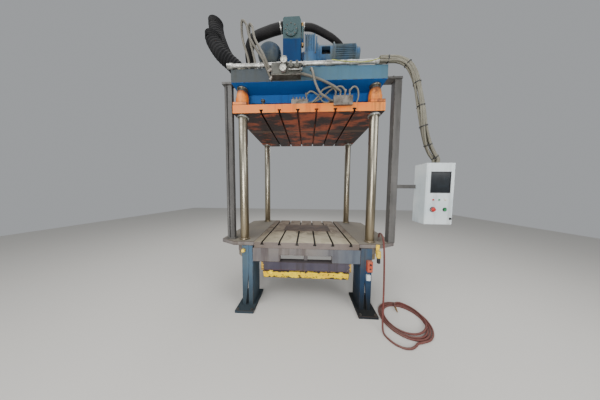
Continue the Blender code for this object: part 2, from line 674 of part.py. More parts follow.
# Manifolds on the platen's front edge, and the valve block with two gauges on the crown
MANIFOLD_DEPTH = 0.080
MANIFOLD_LEFT_X = (-0.175, 0.010)
MANIFOLD_LEFT_SETBACK = 0.010
MANIFOLD_LEFT_FRONT = -PLATEN_DEPTH / 2 + MANIFOLD_LEFT_SETBACK
MANIFOLD_LEFT_BACK = MANIFOLD_LEFT_FRONT + MANIFOLD_DEPTH
MANIFOLD_LEFT_TOP = 0.055
MANIFOLD_RIGHT_X = (0.280, 0.480)
MANIFOLD_RIGHT_OVERHANG = 0.030
MANIFOLD_RIGHT_FRONT = -PLATEN_DEPTH / 2 - MANIFOLD_RIGHT_OVERHANG
MANIFOLD_RIGHT_BACK = MANIFOLD_RIGHT_FRONT + MANIFOLD_DEPTH
MANIFOLD_RIGHT_LIP = 0.035
MANIFOLD_RIGHT_TOP = 0.060
FITTING_RADIUS = 0.011
FITTING_HEIGHT = 0.042
MANIFOLD_LEFT_FITTINGS = 5
MANIFOLD_RIGHT_FITTINGS = 4
VALVE_BLOCK_X = (-0.370, -0.070)
VALVE_BLOCK_DEPTH = 0.075
VALVE_BLOCK_HEIGHT = 0.120
VALVE_BLOCK_SETDOWN = 0.008
SOLENOID_RADIUS = 0.022
SOLENOID_LENGTH = 0.090
SOLENOID_PLACE_SHARES = (0.68, 0.88)
GAUGE_RADIUS = 0.034
GAUGE_DEPTH = 0.030
GAUGE_RIM = 0.003
GAUGE_CAVITY = 0.016
GAUGE_STEM_RADIUS = 0.007
GAUGE_STAND = 0.120
GAUGE_FACE_Y = FRAME_FRONT - GAUGE_STAND
GAUGE_ACROSS = {"upper": -0.236, "lower": -0.244}
GAUGE_DROPS = {"upper": 0.013, "lower": 0.091}
NEEDLE_LENGTH = 0.023
NEEDLE_TAIL = 0.007
NEEDLE_WIDTH = 0.003
NEEDLE_THICKNESS = 0.001
NEEDLE_HUB = 0.004
NEEDLE_STANDOFF = 0.006
NEEDLE_REST = math.radians(135)


def row_of_fittings(target, prefix, start, end, y, base, count):
    for index in range(count):
        place = start + (end - start) * (index + 0.5) / count
        fuse(target, cylinder(f"{prefix}_fitting_{index}", FITTING_RADIUS, base - WELD_SINK,
                              base + FITTING_HEIGHT, location=(place, y, 0), sides=SMALL_SIDES))


def build_manifolds():
    seat = PLATEN_TOP + SEAT_GAP
    start, end = MANIFOLD_LEFT_X
    left = block("manifold_left", (start, MANIFOLD_LEFT_FRONT, seat),
                 (end, MANIFOLD_LEFT_BACK, seat + MANIFOLD_LEFT_TOP), "dark_steel")
    row_of_fittings(left, "left", start, end, (MANIFOLD_LEFT_FRONT + MANIFOLD_LEFT_BACK) / 2,
                    seat + MANIFOLD_LEFT_TOP, MANIFOLD_LEFT_FITTINGS)
    start, end = MANIFOLD_RIGHT_X
    right = block("manifold_right", (start, MANIFOLD_RIGHT_FRONT, seat),
                  (end, MANIFOLD_RIGHT_BACK, seat + MANIFOLD_RIGHT_TOP), "dark_steel")
    fuse(right, block("manifold_lip", (start, MANIFOLD_RIGHT_FRONT, seat - MANIFOLD_RIGHT_LIP),
                      (end, -PLATEN_DEPTH / 2 - SEAT_GAP, seat + WELD_SINK)))
    row_of_fittings(right, "right", start, end, (MANIFOLD_RIGHT_FRONT + MANIFOLD_RIGHT_BACK) / 2,
                    seat + MANIFOLD_RIGHT_TOP, MANIFOLD_RIGHT_FITTINGS)


def build_valve_block():
    start, end = VALVE_BLOCK_X
    back = FRAME_FRONT - SEAT_GAP
    top = CROWN_TOP - VALVE_BLOCK_SETDOWN
    front = back - VALVE_BLOCK_DEPTH
    body = block("valve_block", (start, front, top - VALVE_BLOCK_HEIGHT), (end, back, top),
                 "dark_steel")
    for index, share in enumerate(SOLENOID_PLACE_SHARES):
        across = start + share * (end - start)
        fuse(body, cylinder(f"solenoid_{index}", SOLENOID_RADIUS, -WELD_SINK, SOLENOID_LENGTH / 2,
                            location=(across, front, top - VALVE_BLOCK_HEIGHT / 2),
                            rotation=FACING_FRONT, sides=SMALL_SIDES))
    for name, across in GAUGE_ACROSS.items():
        build_gauge(name, across, CROWN_TOP - GAUGE_DROPS[name], front)


def build_gauge(name, across, height, block_front):
    """A pressure gauge facing the front, its case on a stem from the valve block."""
    floor = -GAUGE_CAVITY
    place = (across, GAUGE_FACE_Y, height)
    case = turned("gauge_case_" + name, [
        (0, floor), (GAUGE_RADIUS - GAUGE_RIM, floor), (GAUGE_RADIUS - GAUGE_RIM, 0),
        (GAUGE_RADIUS, 0), (GAUGE_RADIUS, -GAUGE_DEPTH), (0, -GAUGE_DEPTH),
    ], "gauge_face", place, FACING_FRONT)
    back = GAUGE_FACE_Y + GAUGE_DEPTH - WELD_SINK
    stem_end = block_front - SEAT_GAP
    fuse(case, cylinder(f"gauge_stem_{name}", GAUGE_STEM_RADIUS, -(stem_end - GAUGE_FACE_Y),
                        -(back - GAUGE_FACE_Y), location=place, rotation=FACING_FRONT,
                        sides=SMALL_SIDES))

    hub_bottom = floor + SEAT_GAP
    needle = turned("gauge_needle_" + name, [
        (0, floor + NEEDLE_STANDOFF + NEEDLE_THICKNESS * 2),
        (NEEDLE_HUB, floor + NEEDLE_STANDOFF + NEEDLE_THICKNESS * 2),
        (NEEDLE_HUB, hub_bottom), (0, hub_bottom),
    ], "needle_black", place, FACING_FRONT, sides=SMALL_SIDES)
    pointer_low = floor + NEEDLE_STANDOFF
    corners = [(-NEEDLE_WIDTH, -NEEDLE_TAIL), (NEEDLE_WIDTH, -NEEDLE_TAIL), (0, NEEDLE_LENGTH)]
    turn = Matrix.Rotation(NEEDLE_REST, 2)
    outline = [turn @ Vector(corner) for corner in corners]
    pointer = outline_piece("pointer_" + name, [outline], NEEDLE_THICKNESS,
                            location=(across, GAUGE_FACE_Y - pointer_low, height),
                            rotation=FACING_FRONT)
    fuse(needle, pointer)


# Tank, pump group and accumulator on the crown
DECK = CROWN_TOP - CROWN_BOX_TOP_STEP + SEAT_GAP
TANK_X = (-0.305, -0.085)
TANK_SETBACK = 0.250
TANK_DEPTH = 0.183
TANK_Y = (FRAME_FRONT + TANK_SETBACK, FRAME_FRONT + TANK_SETBACK + TANK_DEPTH)
TANK_RISE = 0.785
TANK_TOP = CROWN_TOP + TANK_RISE
TANK_CHAMFER_X = 0.018
TANK_CHAMFER_Z = 0.045
TANK_EDGE = 0.006
SIGHT_TUBE_RADIUS = 0.013
SIGHT_TUBE_DROP = 0.070
SIGHT_TUBE_LENGTH = 0.260
SIGHT_TUBE_HIGH = TANK_TOP - SIGHT_TUBE_DROP
SIGHT_TUBE_LOW = SIGHT_TUBE_HIGH - SIGHT_TUBE_LENGTH
SIGHT_TUBE_OFFSET = 0.020
SIGHT_ELBOW_RADIUS = 0.0075
SIGHT_ELBOW_END = 0.023
COVER_RADIUS = 0.078
COVER_THICKNESS = 0.014
COVER_DROP = 0.155
COVER_Z = TANK_TOP - COVER_DROP
COVER_BOLTS = 8
COVER_BOLT_CIRCLE = 0.065
COVER_BOLT_RADIUS = 0.006
COVER_BOLT_HEIGHT = 0.006
AXIS_SETBACK = 0.305
AXIS_RISE = 0.330
AXIS_Y = FRAME_FRONT + AXIS_SETBACK
AXIS_Z = CROWN_TOP + AXIS_RISE
BASE_X = (-0.080, 0.620)
BASE_FRONT_REACH = 0.080
BASE_BACK_REACH = 0.105
BASE_RISE = 0.175
BASE_Y = (AXIS_Y - BASE_FRONT_REACH, AXIS_Y + BASE_BACK_REACH)
BASE_TOP = CROWN_TOP + BASE_RISE
PUMP_X = (-0.045, 0.098)
PUMP_FRONT_REACH = 0.085
PUMP_BACK_REACH = 0.090
PUMP_Y = (AXIS_Y - PUMP_FRONT_REACH, AXIS_Y + PUMP_BACK_REACH)
PUMP_SHOULDER_RISE = 0.015
PUMP_SHOULDER = AXIS_Z + PUMP_SHOULDER_RISE
PUMP_HEAD_X = (-0.038, 0.088)
PUMP_HEAD_HEIGHT = 0.207
PUMP_TOP = PUMP_SHOULDER + PUMP_HEAD_HEIGHT
PUMP_FIN_COUNT = 6
PUMP_FIN_GAP = 0.009
PUMP_FIN_DEPTH = 0.012
BELL_X = (0.112, 0.314)
BELL_RADIUS = 0.125
BELL_FLANGE_RADIUS = 0.145
BELL_FLANGE = 0.014
BELL_BORE = 0.085
BELL_WINDOW = 0.100
BELL_FOOT_WIDTH = 0.120
SHAFT_RADIUS = 0.018
HUB_RADIUS = 0.060
HUB_LENGTH = 0.050
HUB_SPLIT = 0.012
SHAFT_END_GAP = 0.005
MOTOR_X = (0.3143, 0.566)
MOTOR_RADIUS = 0.128
MOTOR_FIN_COUNT = 20
MOTOR_FIN_WIDTH = 0.010
MOTOR_FIN_DEPTH = 0.012
MOTOR_COWL_RADIUS = 0.100
MOTOR_COWL_LENGTH = 0.050
TERMINAL_BOX_X = (0.340, 0.540)
TERMINAL_BOX_SETBACK = 0.085
TERMINAL_BOX_DEPTH = 0.100
TERMINAL_BOX_Y = (AXIS_Y + TERMINAL_BOX_SETBACK,
                  AXIS_Y + TERMINAL_BOX_SETBACK + TERMINAL_BOX_DEPTH)
TERMINAL_BOX_RISE = 0.095
TERMINAL_BOX_TOP = AXIS_Z + TERMINAL_BOX_RISE
TERMINAL_LID = 0.022
TERMINAL_LIP = 0.008
ACCUMULATOR_INSET = 0.345
ACCUMULATOR_X = -CROWN_WIDTH / 2 + ACCUMULATOR_INSET
ACCUMULATOR_RISE = 0.430
ACCUMULATOR_Z = CROWN_TOP + ACCUMULATOR_RISE
ACCUMULATOR_RADIUS = 0.135
ACCUMULATOR_FLANGE = 0.150
ACCUMULATOR_SETBACK = 0.250
ACCUMULATOR_LENGTH = 0.455
ACCUMULATOR_FRONT = FRAME_FRONT + ACCUMULATOR_SETBACK
ACCUMULATOR_DOME = 0.065
ACCUMULATOR_FLANGE_WIDTH = 0.022
SADDLE_HALF_WIDTH = 0.095
SADDLE_LENGTH = 0.080
SADDLE_SETBACKS = (0.125, 0.355)
ACROSS_X = (0, QUARTER_TURN, 0)


def build_tank():
    left, right = TANK_X
    outline = [(left, DECK), (right, DECK), (right, TANK_TOP - TANK_CHAMFER_Z),
               (right - TANK_CHAMFER_X, TANK_TOP), (left + TANK_CHAMFER_X, TANK_TOP),
               (left, TANK_TOP - TANK_CHAMFER_X)]
    tank = outline_piece("header_tank", [outline], TANK_Y[1] - TANK_Y[0], "dusty_blue",
                         (0, (TANK_Y[0] + TANK_Y[1]) / 2, 0), FACING_FRONT)
    tube_y = TANK_Y[0] + SIGHT_TUBE_OFFSET
    fuse(tank, cylinder("sight_tube", SIGHT_TUBE_RADIUS, SIGHT_TUBE_LOW, SIGHT_TUBE_HIGH,
                        location=(right + SIGHT_TUBE_OFFSET, tube_y, 0), sides=SMALL_SIDES))
    for label, height in (("low", SIGHT_TUBE_LOW + SIGHT_TUBE_OFFSET),
                          ("high", SIGHT_TUBE_HIGH - SIGHT_TUBE_OFFSET)):
        fuse(tank, cylinder("sight_elbow_" + label, SIGHT_ELBOW_RADIUS, -WELD_SINK,
                            SIGHT_ELBOW_END, location=(right, tube_y, height),
                            rotation=ACROSS_X, sides=8))

    face = TANK_Y[0] - SEAT_GAP
    centre = ((left + right) / 2, face, COVER_Z)
    cover = cylinder("tank_cover", COVER_RADIUS, 0, COVER_THICKNESS, "dusty_blue", centre,
                     FACING_FRONT)
    for index in range(COVER_BOLTS):
        angle = index * 2 * HALF_TURN / COVER_BOLTS
        place = (centre[0] + COVER_BOLT_CIRCLE * math.cos(angle), face,
                 centre[2] + COVER_BOLT_CIRCLE * math.sin(angle))
        fuse(cover, cylinder(f"cover_bolt_{index}", COVER_BOLT_RADIUS, COVER_THICKNESS / 2,
                             COVER_THICKNESS + COVER_BOLT_HEIGHT, location=place,
                             rotation=FACING_FRONT, sides=6))


def build_pump_group():
    block("power_unit_base", (BASE_X[0], BASE_Y[0], DECK), (BASE_X[1], BASE_Y[1], BASE_TOP),
          "deep_blue", TANK_EDGE)
    seat = BASE_TOP + SEAT_GAP
    pump = block("pump", (PUMP_X[0], PUMP_Y[0], seat), (PUMP_X[1], PUMP_Y[1], PUMP_SHOULDER),
                 "dusty_blue")
    fuse(pump, block("pump_head", (PUMP_HEAD_X[0], PUMP_Y[0], PUMP_SHOULDER - WELD_SINK),
                     (PUMP_HEAD_X[1], PUMP_Y[1], PUMP_TOP)))
    pitch = (PUMP_HEAD_X[1] - PUMP_HEAD_X[0]) / PUMP_FIN_COUNT
    for index in range(1, PUMP_FIN_COUNT):
        across = PUMP_HEAD_X[0] + index * pitch
        cut(pump, block(f"pump_fin_gap_{index}",
                        (across - PUMP_FIN_GAP / 2, PUMP_Y[0] - OVERRUN, PUMP_SHOULDER + OVERRUN),
                        (across + PUMP_FIN_GAP / 2, PUMP_Y[0] + PUMP_FIN_DEPTH,
                         PUMP_TOP + OVERRUN)))
    cut(pump, cylinder("pump_shaft_hole", turning_bore(SHAFT_RADIUS, ROUND_SIDES), -HUB_LENGTH,
                       OVERRUN, location=(PUMP_X[1], AXIS_Y, AXIS_Z), rotation=ACROSS_X))
    build_bell_housing(seat)
    build_motor(seat)
    build_drive_shaft()


def build_bell_housing(seat):
    start, end = BELL_X
    length = end - start
    bell = turned("bell_housing", [
        (BELL_BORE, length), (BELL_FLANGE_RADIUS, length),
        (BELL_FLANGE_RADIUS, length - BELL_FLANGE), (BELL_RADIUS, length - BELL_FLANGE),
        (BELL_RADIUS, BELL_FLANGE), (BELL_FLANGE_RADIUS, BELL_FLANGE),
        (BELL_FLANGE_RADIUS, 0), (BELL_BORE, 0),
    ], "dusty_blue", (start, AXIS_Y, AXIS_Z), ACROSS_X, ring=True)
    middle = (start + end) / 2
    fuse(bell, block("bell_foot", (middle - BELL_FOOT_WIDTH / 2, AXIS_Y - BELL_FOOT_WIDTH / 2,
                                   seat),
                     (middle + BELL_FOOT_WIDTH / 2, AXIS_Y + BELL_FOOT_WIDTH / 2,
                      AXIS_Z - BELL_BORE - WELD_SINK)))
    cut(bell, block("bell_window", (middle - BELL_WINDOW / 2, AXIS_Y - BELL_RADIUS - OVERRUN,
                                    AXIS_Z - BELL_BORE / 2),
                    (middle + BELL_WINDOW / 2, AXIS_Y - BELL_BORE / 2, AXIS_Z + BELL_BORE / 2)))


def build_motor(seat):
    start, end = MOTOR_X
    length = end - start
    cowl = length + MOTOR_COWL_LENGTH
    motor = turned("motor", [
        (0, cowl), (MOTOR_COWL_RADIUS - TANK_EDGE, cowl), (MOTOR_COWL_RADIUS, cowl - TANK_EDGE),
        (MOTOR_COWL_RADIUS, length), (MOTOR_RADIUS, length), (MOTOR_RADIUS, 0), (0, 0),
    ], "dusty_blue", (start, AXIS_Y, AXIS_Z), ACROSS_X)
    root = MOTOR_RADIUS - MOTOR_FIN_DEPTH
    for index in range(MOTOR_FIN_COUNT):
        angle = (index + 0.5) * 2 * HALF_TURN / MOTOR_FIN_COUNT
        groove = block(f"motor_groove_{index}",
                       (-length / 2 + BELL_FLANGE, root, -MOTOR_FIN_WIDTH / 2),
                       (length / 2 + OVERRUN, MOTOR_RADIUS + OVERRUN, MOTOR_FIN_WIDTH / 2))
        radius = (root + MOTOR_RADIUS + OVERRUN) / 2
        groove.location = ((start + end + BELL_FLANGE + OVERRUN) / 2,
                           AXIS_Y + radius * math.cos(angle), AXIS_Z + radius * math.sin(angle))
        groove.rotation_euler = (angle, 0, 0)
        cut(motor, groove)
    fuse(motor, block("motor_foot", (start + BELL_FLANGE, AXIS_Y - MOTOR_RADIUS / 2, seat),
                      (end - BELL_FLANGE, AXIS_Y + MOTOR_RADIUS / 2, AXIS_Z - MOTOR_RADIUS / 2)))
    fuse(motor, block("terminal_box",
                      (TERMINAL_BOX_X[0], TERMINAL_BOX_Y[0], AXIS_Z + MOTOR_RADIUS / 4),
                      (TERMINAL_BOX_X[1], TERMINAL_BOX_Y[1], TERMINAL_BOX_TOP)))
    fuse(motor, block("terminal_lid",
                      (TERMINAL_BOX_X[0] - TERMINAL_LIP, TERMINAL_BOX_Y[0] - TERMINAL_LIP,
                       TERMINAL_BOX_TOP - TERMINAL_LID),
                      (TERMINAL_BOX_X[1] + TERMINAL_LIP, TERMINAL_BOX_Y[1] + TERMINAL_LIP,
                       TERMINAL_BOX_TOP + TERMINAL_LIP)))
    cut(motor, cylinder("motor_shaft_hole", turning_bore(SHAFT_RADIUS, ROUND_SIDES), -OVERRUN,
                        HUB_LENGTH, location=(start, AXIS_Y, AXIS_Z), rotation=ACROSS_X))


def build_drive_shaft():
    """Shaft with a jaw coupling, from the motor's hole to the pump's."""
    reach = HUB_LENGTH - SHAFT_END_GAP
    start = PUMP_X[1] - reach
    end = MOTOR_X[0] + reach
    hub_low = (BELL_X[0] + BELL_X[1]) / 2 - start - HUB_LENGTH
    hub_high = hub_low + 2 * HUB_LENGTH
    split = (hub_low + hub_high) / 2
    slim = HUB_RADIUS - HUB_SPLIT
    turned("drive_shaft", [
        (0, end - start), (SHAFT_RADIUS, end - start), (SHAFT_RADIUS, hub_high),
        (HUB_RADIUS, hub_high), (HUB_RADIUS, split + HUB_SPLIT / 2), (slim, split + HUB_SPLIT / 2),
        (slim, split - HUB_SPLIT / 2), (HUB_RADIUS, split - HUB_SPLIT / 2), (HUB_RADIUS, hub_low),
        (SHAFT_RADIUS, hub_low), (SHAFT_RADIUS, 0), (0, 0),
    ], "machined_steel", (start, AXIS_Y, AXIS_Z), ACROSS_X)


def build_accumulator():
    """A round vessel with a domed front and a bolted flange, on two saddles."""
    dome = [(ACCUMULATOR_RADIUS * math.sin(step * QUARTER_TURN / ARC_STEPS),
             ACCUMULATOR_DOME * (math.cos(step * QUARTER_TURN / ARC_STEPS) - 1))
            for step in range(ARC_STEPS + 1)]
    flange = -ACCUMULATOR_DOME - TANK_EDGE
    vessel = turned("accumulator", dome + [
        (ACCUMULATOR_RADIUS, flange), (ACCUMULATOR_FLANGE, flange),
        (ACCUMULATOR_FLANGE, flange - ACCUMULATOR_FLANGE_WIDTH),
        (ACCUMULATOR_RADIUS, flange - ACCUMULATOR_FLANGE_WIDTH),
        (ACCUMULATOR_RADIUS, ACCUMULATOR_DOME / 2 - ACCUMULATOR_LENGTH),
        (ACCUMULATOR_RADIUS / 2, -ACCUMULATOR_LENGTH), (0, -ACCUMULATOR_LENGTH),
    ], "dusty_blue", (ACCUMULATOR_X, ACCUMULATOR_FRONT, ACCUMULATOR_Z), FACING_FRONT)
    for index, setback in enumerate(SADDLE_SETBACKS):
        along = ACCUMULATOR_FRONT + setback
        fuse(vessel, block(f"saddle_{index}",
                           (ACCUMULATOR_X - SADDLE_HALF_WIDTH, along - SADDLE_LENGTH / 2, DECK),
                           (ACCUMULATOR_X + SADDLE_HALF_WIDTH, along + SADDLE_LENGTH / 2,
                            ACCUMULATOR_Z - ACCUMULATOR_RADIUS / 2)))


# Pipes, ducts and hoses on the crown. Each route has its two ends, a short straight lead at
# each, and between them places given as shares of its reach, measured from its start.
PIPE_LEAD = 0.025
SUCTION_RADIUS = 0.055
SUCTION_DROP = 0.060
SUCTION_SETBACK = 0.065
SUCTION_START = (TANK_X[0] - SEAT_GAP, TANK_Y[0] + SUCTION_SETBACK, TANK_TOP - SUCTION_DROP)
SUCTION_REACH = (0.3547, 0.420)
SUCTION_END = (SUCTION_START[0] - SUCTION_REACH[0], SUCTION_START[1] + SUCTION_REACH[1], DECK)
SUCTION_SHARES = ((0.55, 0.02, 0.04), (1.14, 0.13, 0.09), (1.40, 0.33, 0.22),
                  (1.42, 0.64, 0.48), (1.23, 0.90, 0.77))
RETURN_RADIUS = 0.038
RETURN_DROP = 0.050
RETURN_SETBACK = 0.075
RETURN_START = (TANK_X[1] + SEAT_GAP, TANK_Y[0] + RETURN_SETBACK, TANK_TOP - RETURN_DROP)
RETURN_REACH = (0.5847, 0.250)
RETURN_END = (RETURN_START[0] + RETURN_REACH[0], RETURN_START[1] + RETURN_REACH[1], DECK)
RETURN_SHARES = ((0.25, 0.02, 0.014), (0.53, 0.12, 0.088), (0.73, 0.26, 0.142),
                 (0.92, 0.60, 0.18), (1.03, 0.92, 0.36), (1.03, 1.0, 0.62))
DUCT_RADIUS = 0.088
DUCT_WALL = 0.012
DUCT_MOUTH_DEPTH = 0.060
DUCT_LEAD = 0.060
DUCT_FRONT_SETBACK = 0.325
DUCT_FRONT_INSET = 0.120
DUCT_FRONT_START = (-CROWN_WIDTH / 2 + DUCT_FRONT_INSET, FRAME_FRONT + DUCT_FRONT_SETBACK, DECK)
DUCT_FRONT_REACH = (-0.409, -0.155, 0.5247)
DUCT_FRONT_END = offset(DUCT_FRONT_START, DUCT_FRONT_REACH)
DUCT_FRONT_SHARES = ((0.12, 0.10, 0.24), (0.42, 0.50, 0.42), (0.78, 0.88, 0.62))
DUCT_REAR_SETBACK = 0.520
DUCT_REAR_INSET = 0.125
DUCT_REAR_START = (-CROWN_WIDTH / 2 + DUCT_REAR_INSET, FRAME_FRONT + DUCT_REAR_SETBACK, DECK)
DUCT_REAR_REACH = (-0.493, -0.163, 0.8797)
DUCT_REAR_END = offset(DUCT_REAR_START, DUCT_REAR_REACH)
DUCT_REAR_SHARES = ((0.12, 0.10, 0.14), (0.42, 0.52, 0.30), (0.74, 0.94, 0.52), (0.93, 1.0, 0.76))
HOSE_RADIUS = 0.013
HOSE_DROP_X = VALVE_BLOCK_X[0] - SEAT_GAP
HOSE_FRONT_Y = FRAME_FRONT - VALVE_BLOCK_DEPTH / 2
HOSE_START_SETBACK = 0.065
HOSE_START_ACROSS = {"a": -0.650, "b": -0.580}
HOSE_END_DROPS = {"a": 0.102, "b": 0.055}
HOSE_END_STEPS = {"a": 0.018, "b": -0.018}
HOSE_RISES = {"a": 0.520, "b": 0.465}
HOSE_SWEEPS = {"a": 0.125, "b": 0.165}
HOSE_SHARES = ((-0.05, 0.0, 0.29), (-0.25, 0.08, 0.69), (-0.24, 0.27, 0.98), (-0.04, 0.46, 0.89),
               (0.14, 0.69, 0.56), (0.42, 0.92, 0.29), (0.68, 1.0, 0.07))
PLATEN_HOSE_RADIUS = 0.012
PLATEN_HOSE_A_DROP = 0.037
PLATEN_HOSE_A_START = (0.040, FRAME_FRONT - SEAT_GAP, CROWN_TOP - PLATEN_HOSE_A_DROP)
PLATEN_HOSE_A_SHARES = ((0.06, -1.0, 0.26), (0.16, -1.05, 0.59), (0.38, -0.8, 0.90),
                        (0.68, -0.3, 0.985))
PLATEN_HOSE_A_BULGE = 0.075
PLATEN_HOSE_B_DROP = 0.100
PLATEN_HOSE_B_SHARES = ((0.27, 0.05, 0.15), (0.54, 0.15, 0.39), (0.80, 0.40, 0.66),
                        (0.96, 0.80, 0.84))
CONDUIT_RADIUS = 0.020
CONDUIT_OVERHANG = 0.035
CONDUIT_INSET = 0.100
CONDUIT_ENDS = (-CROWN_WIDTH / 2 - CONDUIT_OVERHANG, CROWN_WIDTH / 2 - CONDUIT_INSET)
CONDUIT_OUTSET = 0.005
CONDUIT_Y = FRAME_FRONT - CONDUIT_OUTSET
CONDUIT_FITTING_RADIUS = 0.027
CONDUIT_FITTING_LENGTH = 0.070
CONDUIT_SADDLE_SHARES = (0.22, 0.52, 0.82)
CONDUIT_SADDLE = 0.030


def led_route(start, start_lead, end, end_lead, reach, shares):
    """The points of a route, from its ends, their leads and its places between."""
    places = [Vector(part * step + origin for part, step, origin in zip(share, reach, start))
              for share in shares]
    first, last = Vector(start), Vector(end)
    return [first, first + Vector(start_lead), *places, last + Vector(end_lead), last]


def between(start, end):
    return [there - here for here, there in zip(start, end)]


def build_pipes():
    up = (0, 0, PIPE_LEAD)
    tube("suction_pipe", led_route(SUCTION_START, (-PIPE_LEAD, 0, 0), SUCTION_END, up,
                                   between(SUCTION_START, SUCTION_END), SUCTION_SHARES),
         SUCTION_RADIUS, "black_rubber", SUCTION_RADIUS * 2)
    tube("return_pipe", led_route(RETURN_START, (PIPE_LEAD, 0, 0), RETURN_END, up,
                                  between(RETURN_START, RETURN_END), RETURN_SHARES),
         RETURN_RADIUS, "black_rubber", RETURN_RADIUS * 3)
    build_duct("duct_front", DUCT_FRONT_START, DUCT_FRONT_END, DUCT_FRONT_SHARES)
    build_duct("duct_rear", DUCT_REAR_START, DUCT_REAR_END, DUCT_REAR_SHARES)


def build_duct(name, start, end, shares):
    """A black flexible duct that stands on the deck, with an open mouth at its upper end."""
    up = (0, 0, DUCT_LEAD)
    down = (0, 0, -DUCT_LEAD)
    route = led_route(start, up, end, down, between(start, end), shares)
    duct = as_mesh(tube(name, route, DUCT_RADIUS, "black_rubber", DUCT_RADIUS, 3))
    cut(duct, cylinder(name + "_mouth", DUCT_RADIUS - DUCT_WALL, -DUCT_MOUTH_DEPTH, OVERRUN,
                       location=end, sides=SMALL_SIDES))


def build_hoses():
    up = (0, 0, PIPE_LEAD)
    for name, across in HOSE_START_ACROSS.items():
        start = (across, FRAME_FRONT + HOSE_START_SETBACK, CROWN_TOP + SEAT_GAP)
        end = (HOSE_DROP_X, HOSE_FRONT_Y + HOSE_END_STEPS[name],
               CROWN_TOP - HOSE_END_DROPS[name])
        reach = (HOSE_DROP_X - across, -HOSE_SWEEPS[name], HOSE_RISES[name])
        tube("pressure_hose_" + name, led_route(start, up, end, (-PIPE_LEAD, 0, 0), reach,
                                                HOSE_SHARES),
             HOSE_RADIUS, "grey_hose", HOSE_RADIUS * 5)

    end_a = (MANIFOLD_RIGHT_X[0] - SEAT_GAP, (MANIFOLD_RIGHT_FRONT + MANIFOLD_RIGHT_BACK) / 2,
             PLATEN_TOP + MANIFOLD_RIGHT_TOP / 2)
    reach_a = (end_a[0] - PLATEN_HOSE_A_START[0], PLATEN_HOSE_A_BULGE,
               end_a[2] - PLATEN_HOSE_A_START[2])
    tube("platen_hose_a", led_route(PLATEN_HOSE_A_START, (0, -PIPE_LEAD, 0), end_a,
                                    (-PIPE_LEAD, 0, 0), reach_a, PLATEN_HOSE_A_SHARES),
         PLATEN_HOSE_RADIUS, "grey_hose", PLATEN_HOSE_RADIUS * 3)

    start_b = (VALVE_BLOCK_X[1] + SEAT_GAP, HOSE_FRONT_Y, CROWN_TOP - PLATEN_HOSE_B_DROP)
    end_b = (manifold_fitting_x(1), end_a[1],
             PLATEN_TOP + SEAT_GAP + MANIFOLD_RIGHT_TOP + FITTING_HEIGHT + SEAT_GAP)
    tube("platen_hose_b", led_route(start_b, (PIPE_LEAD, 0, 0), end_b, up,
                                    between(start_b, end_b), PLATEN_HOSE_B_SHARES),
         PLATEN_HOSE_RADIUS, "grey_hose", PLATEN_HOSE_RADIUS * 3)


def manifold_fitting_x(index):
    start, end = MANIFOLD_RIGHT_X
    return start + (end - start) * (index + 0.5) / MANIFOLD_RIGHT_FITTINGS


def build_conduit():
    """The conduit that lies along the top of the front beam, in three saddles."""
    start, end = CONDUIT_ENDS
    middle = CROWN_TOP + SEAT_GAP + CONDUIT_FITTING_RADIUS
    length = end - start
    run = turned("conduit", [
        (0, length), (CONDUIT_FITTING_RADIUS, length),
        (CONDUIT_FITTING_RADIUS, length - CONDUIT_FITTING_LENGTH / 2),
        (CONDUIT_RADIUS, length - CONDUIT_FITTING_LENGTH / 2),
        (CONDUIT_RADIUS, CONDUIT_FITTING_LENGTH), (CONDUIT_FITTING_RADIUS, CONDUIT_FITTING_LENGTH),
        (CONDUIT_FITTING_RADIUS, 0), (0, 0),
    ], "galvanised", (start, CONDUIT_Y, middle), ACROSS_X, sides=SMALL_SIDES)
    for index, share in enumerate(CONDUIT_SADDLE_SHARES):
        across = start + share * length
        fuse(run, block(f"conduit_saddle_{index}",
                        (across - CONDUIT_SADDLE / 2, CONDUIT_Y - CONDUIT_RADIUS,
                         CROWN_TOP + SEAT_GAP),
                        (across + CONDUIT_SADDLE / 2, CONDUIT_Y + CONDUIT_RADIUS, middle)))


# Posts beside the columns, the control box on its arm, and the cable bundle that feeds it
POST_WIDTH = 0.075
POST_PLATE = 0.012
POST_PLATE_LIP = 0.012
POST_RIGHT_INSET = 0.045
POST_RIGHT_X = WING_OUTER - POST_RIGHT_INSET
LEFT_POST_INSET = 0.135
LEFT_POST_X = -WING_OUTER + LEFT_POST_INSET
LEFT_POST_WIDTH = 0.050
LEFT_CONDUIT_STEP = 0.055
LEFT_CONDUIT_X = LEFT_POST_X - LEFT_CONDUIT_STEP
LEFT_CONDUIT_RADIUS = 0.017
POST_SETBACK = 0.105
POST_Y = FRAME_FRONT + POST_SETBACK
POST_HEAD_DROP = 0.050
ARM_HEIGHT = 0.040
ARM_RISE = 0.650
ARM_Z = BED_HEIGHT + ARM_RISE
BOX_WIDTH = 0.280
BOX_DEPTH = 0.180
BOX_HEIGHT = 0.640
BOX_REACH = 0.250
BOX_OVERHANG = 0.060
BOX_DROP = 0.400
BOX_X = (POST_RIGHT_X + BOX_REACH, POST_RIGHT_X + BOX_REACH + BOX_WIDTH)
BOX_Y = (FRAME_FRONT - BOX_OVERHANG, FRAME_FRONT - BOX_OVERHANG + BOX_DEPTH)
BOX_Z = (ARM_Z - BOX_DROP, ARM_Z - BOX_DROP + BOX_HEIGHT)
BOX_EDGE = 0.010
SCREEN_SIDE_MARGIN = 0.040
SCREEN_TOP_MARGIN = 0.090
SCREEN_HEIGHT = 0.220
SCREEN_X = (BOX_X[0] + SCREEN_SIDE_MARGIN, BOX_X[1] - SCREEN_SIDE_MARGIN)
SCREEN_Z = (BOX_Z[1] - SCREEN_TOP_MARGIN - SCREEN_HEIGHT, BOX_Z[1] - SCREEN_TOP_MARGIN)
SCREEN_RECESS = 0.006
BUTTON_RISE = 0.160
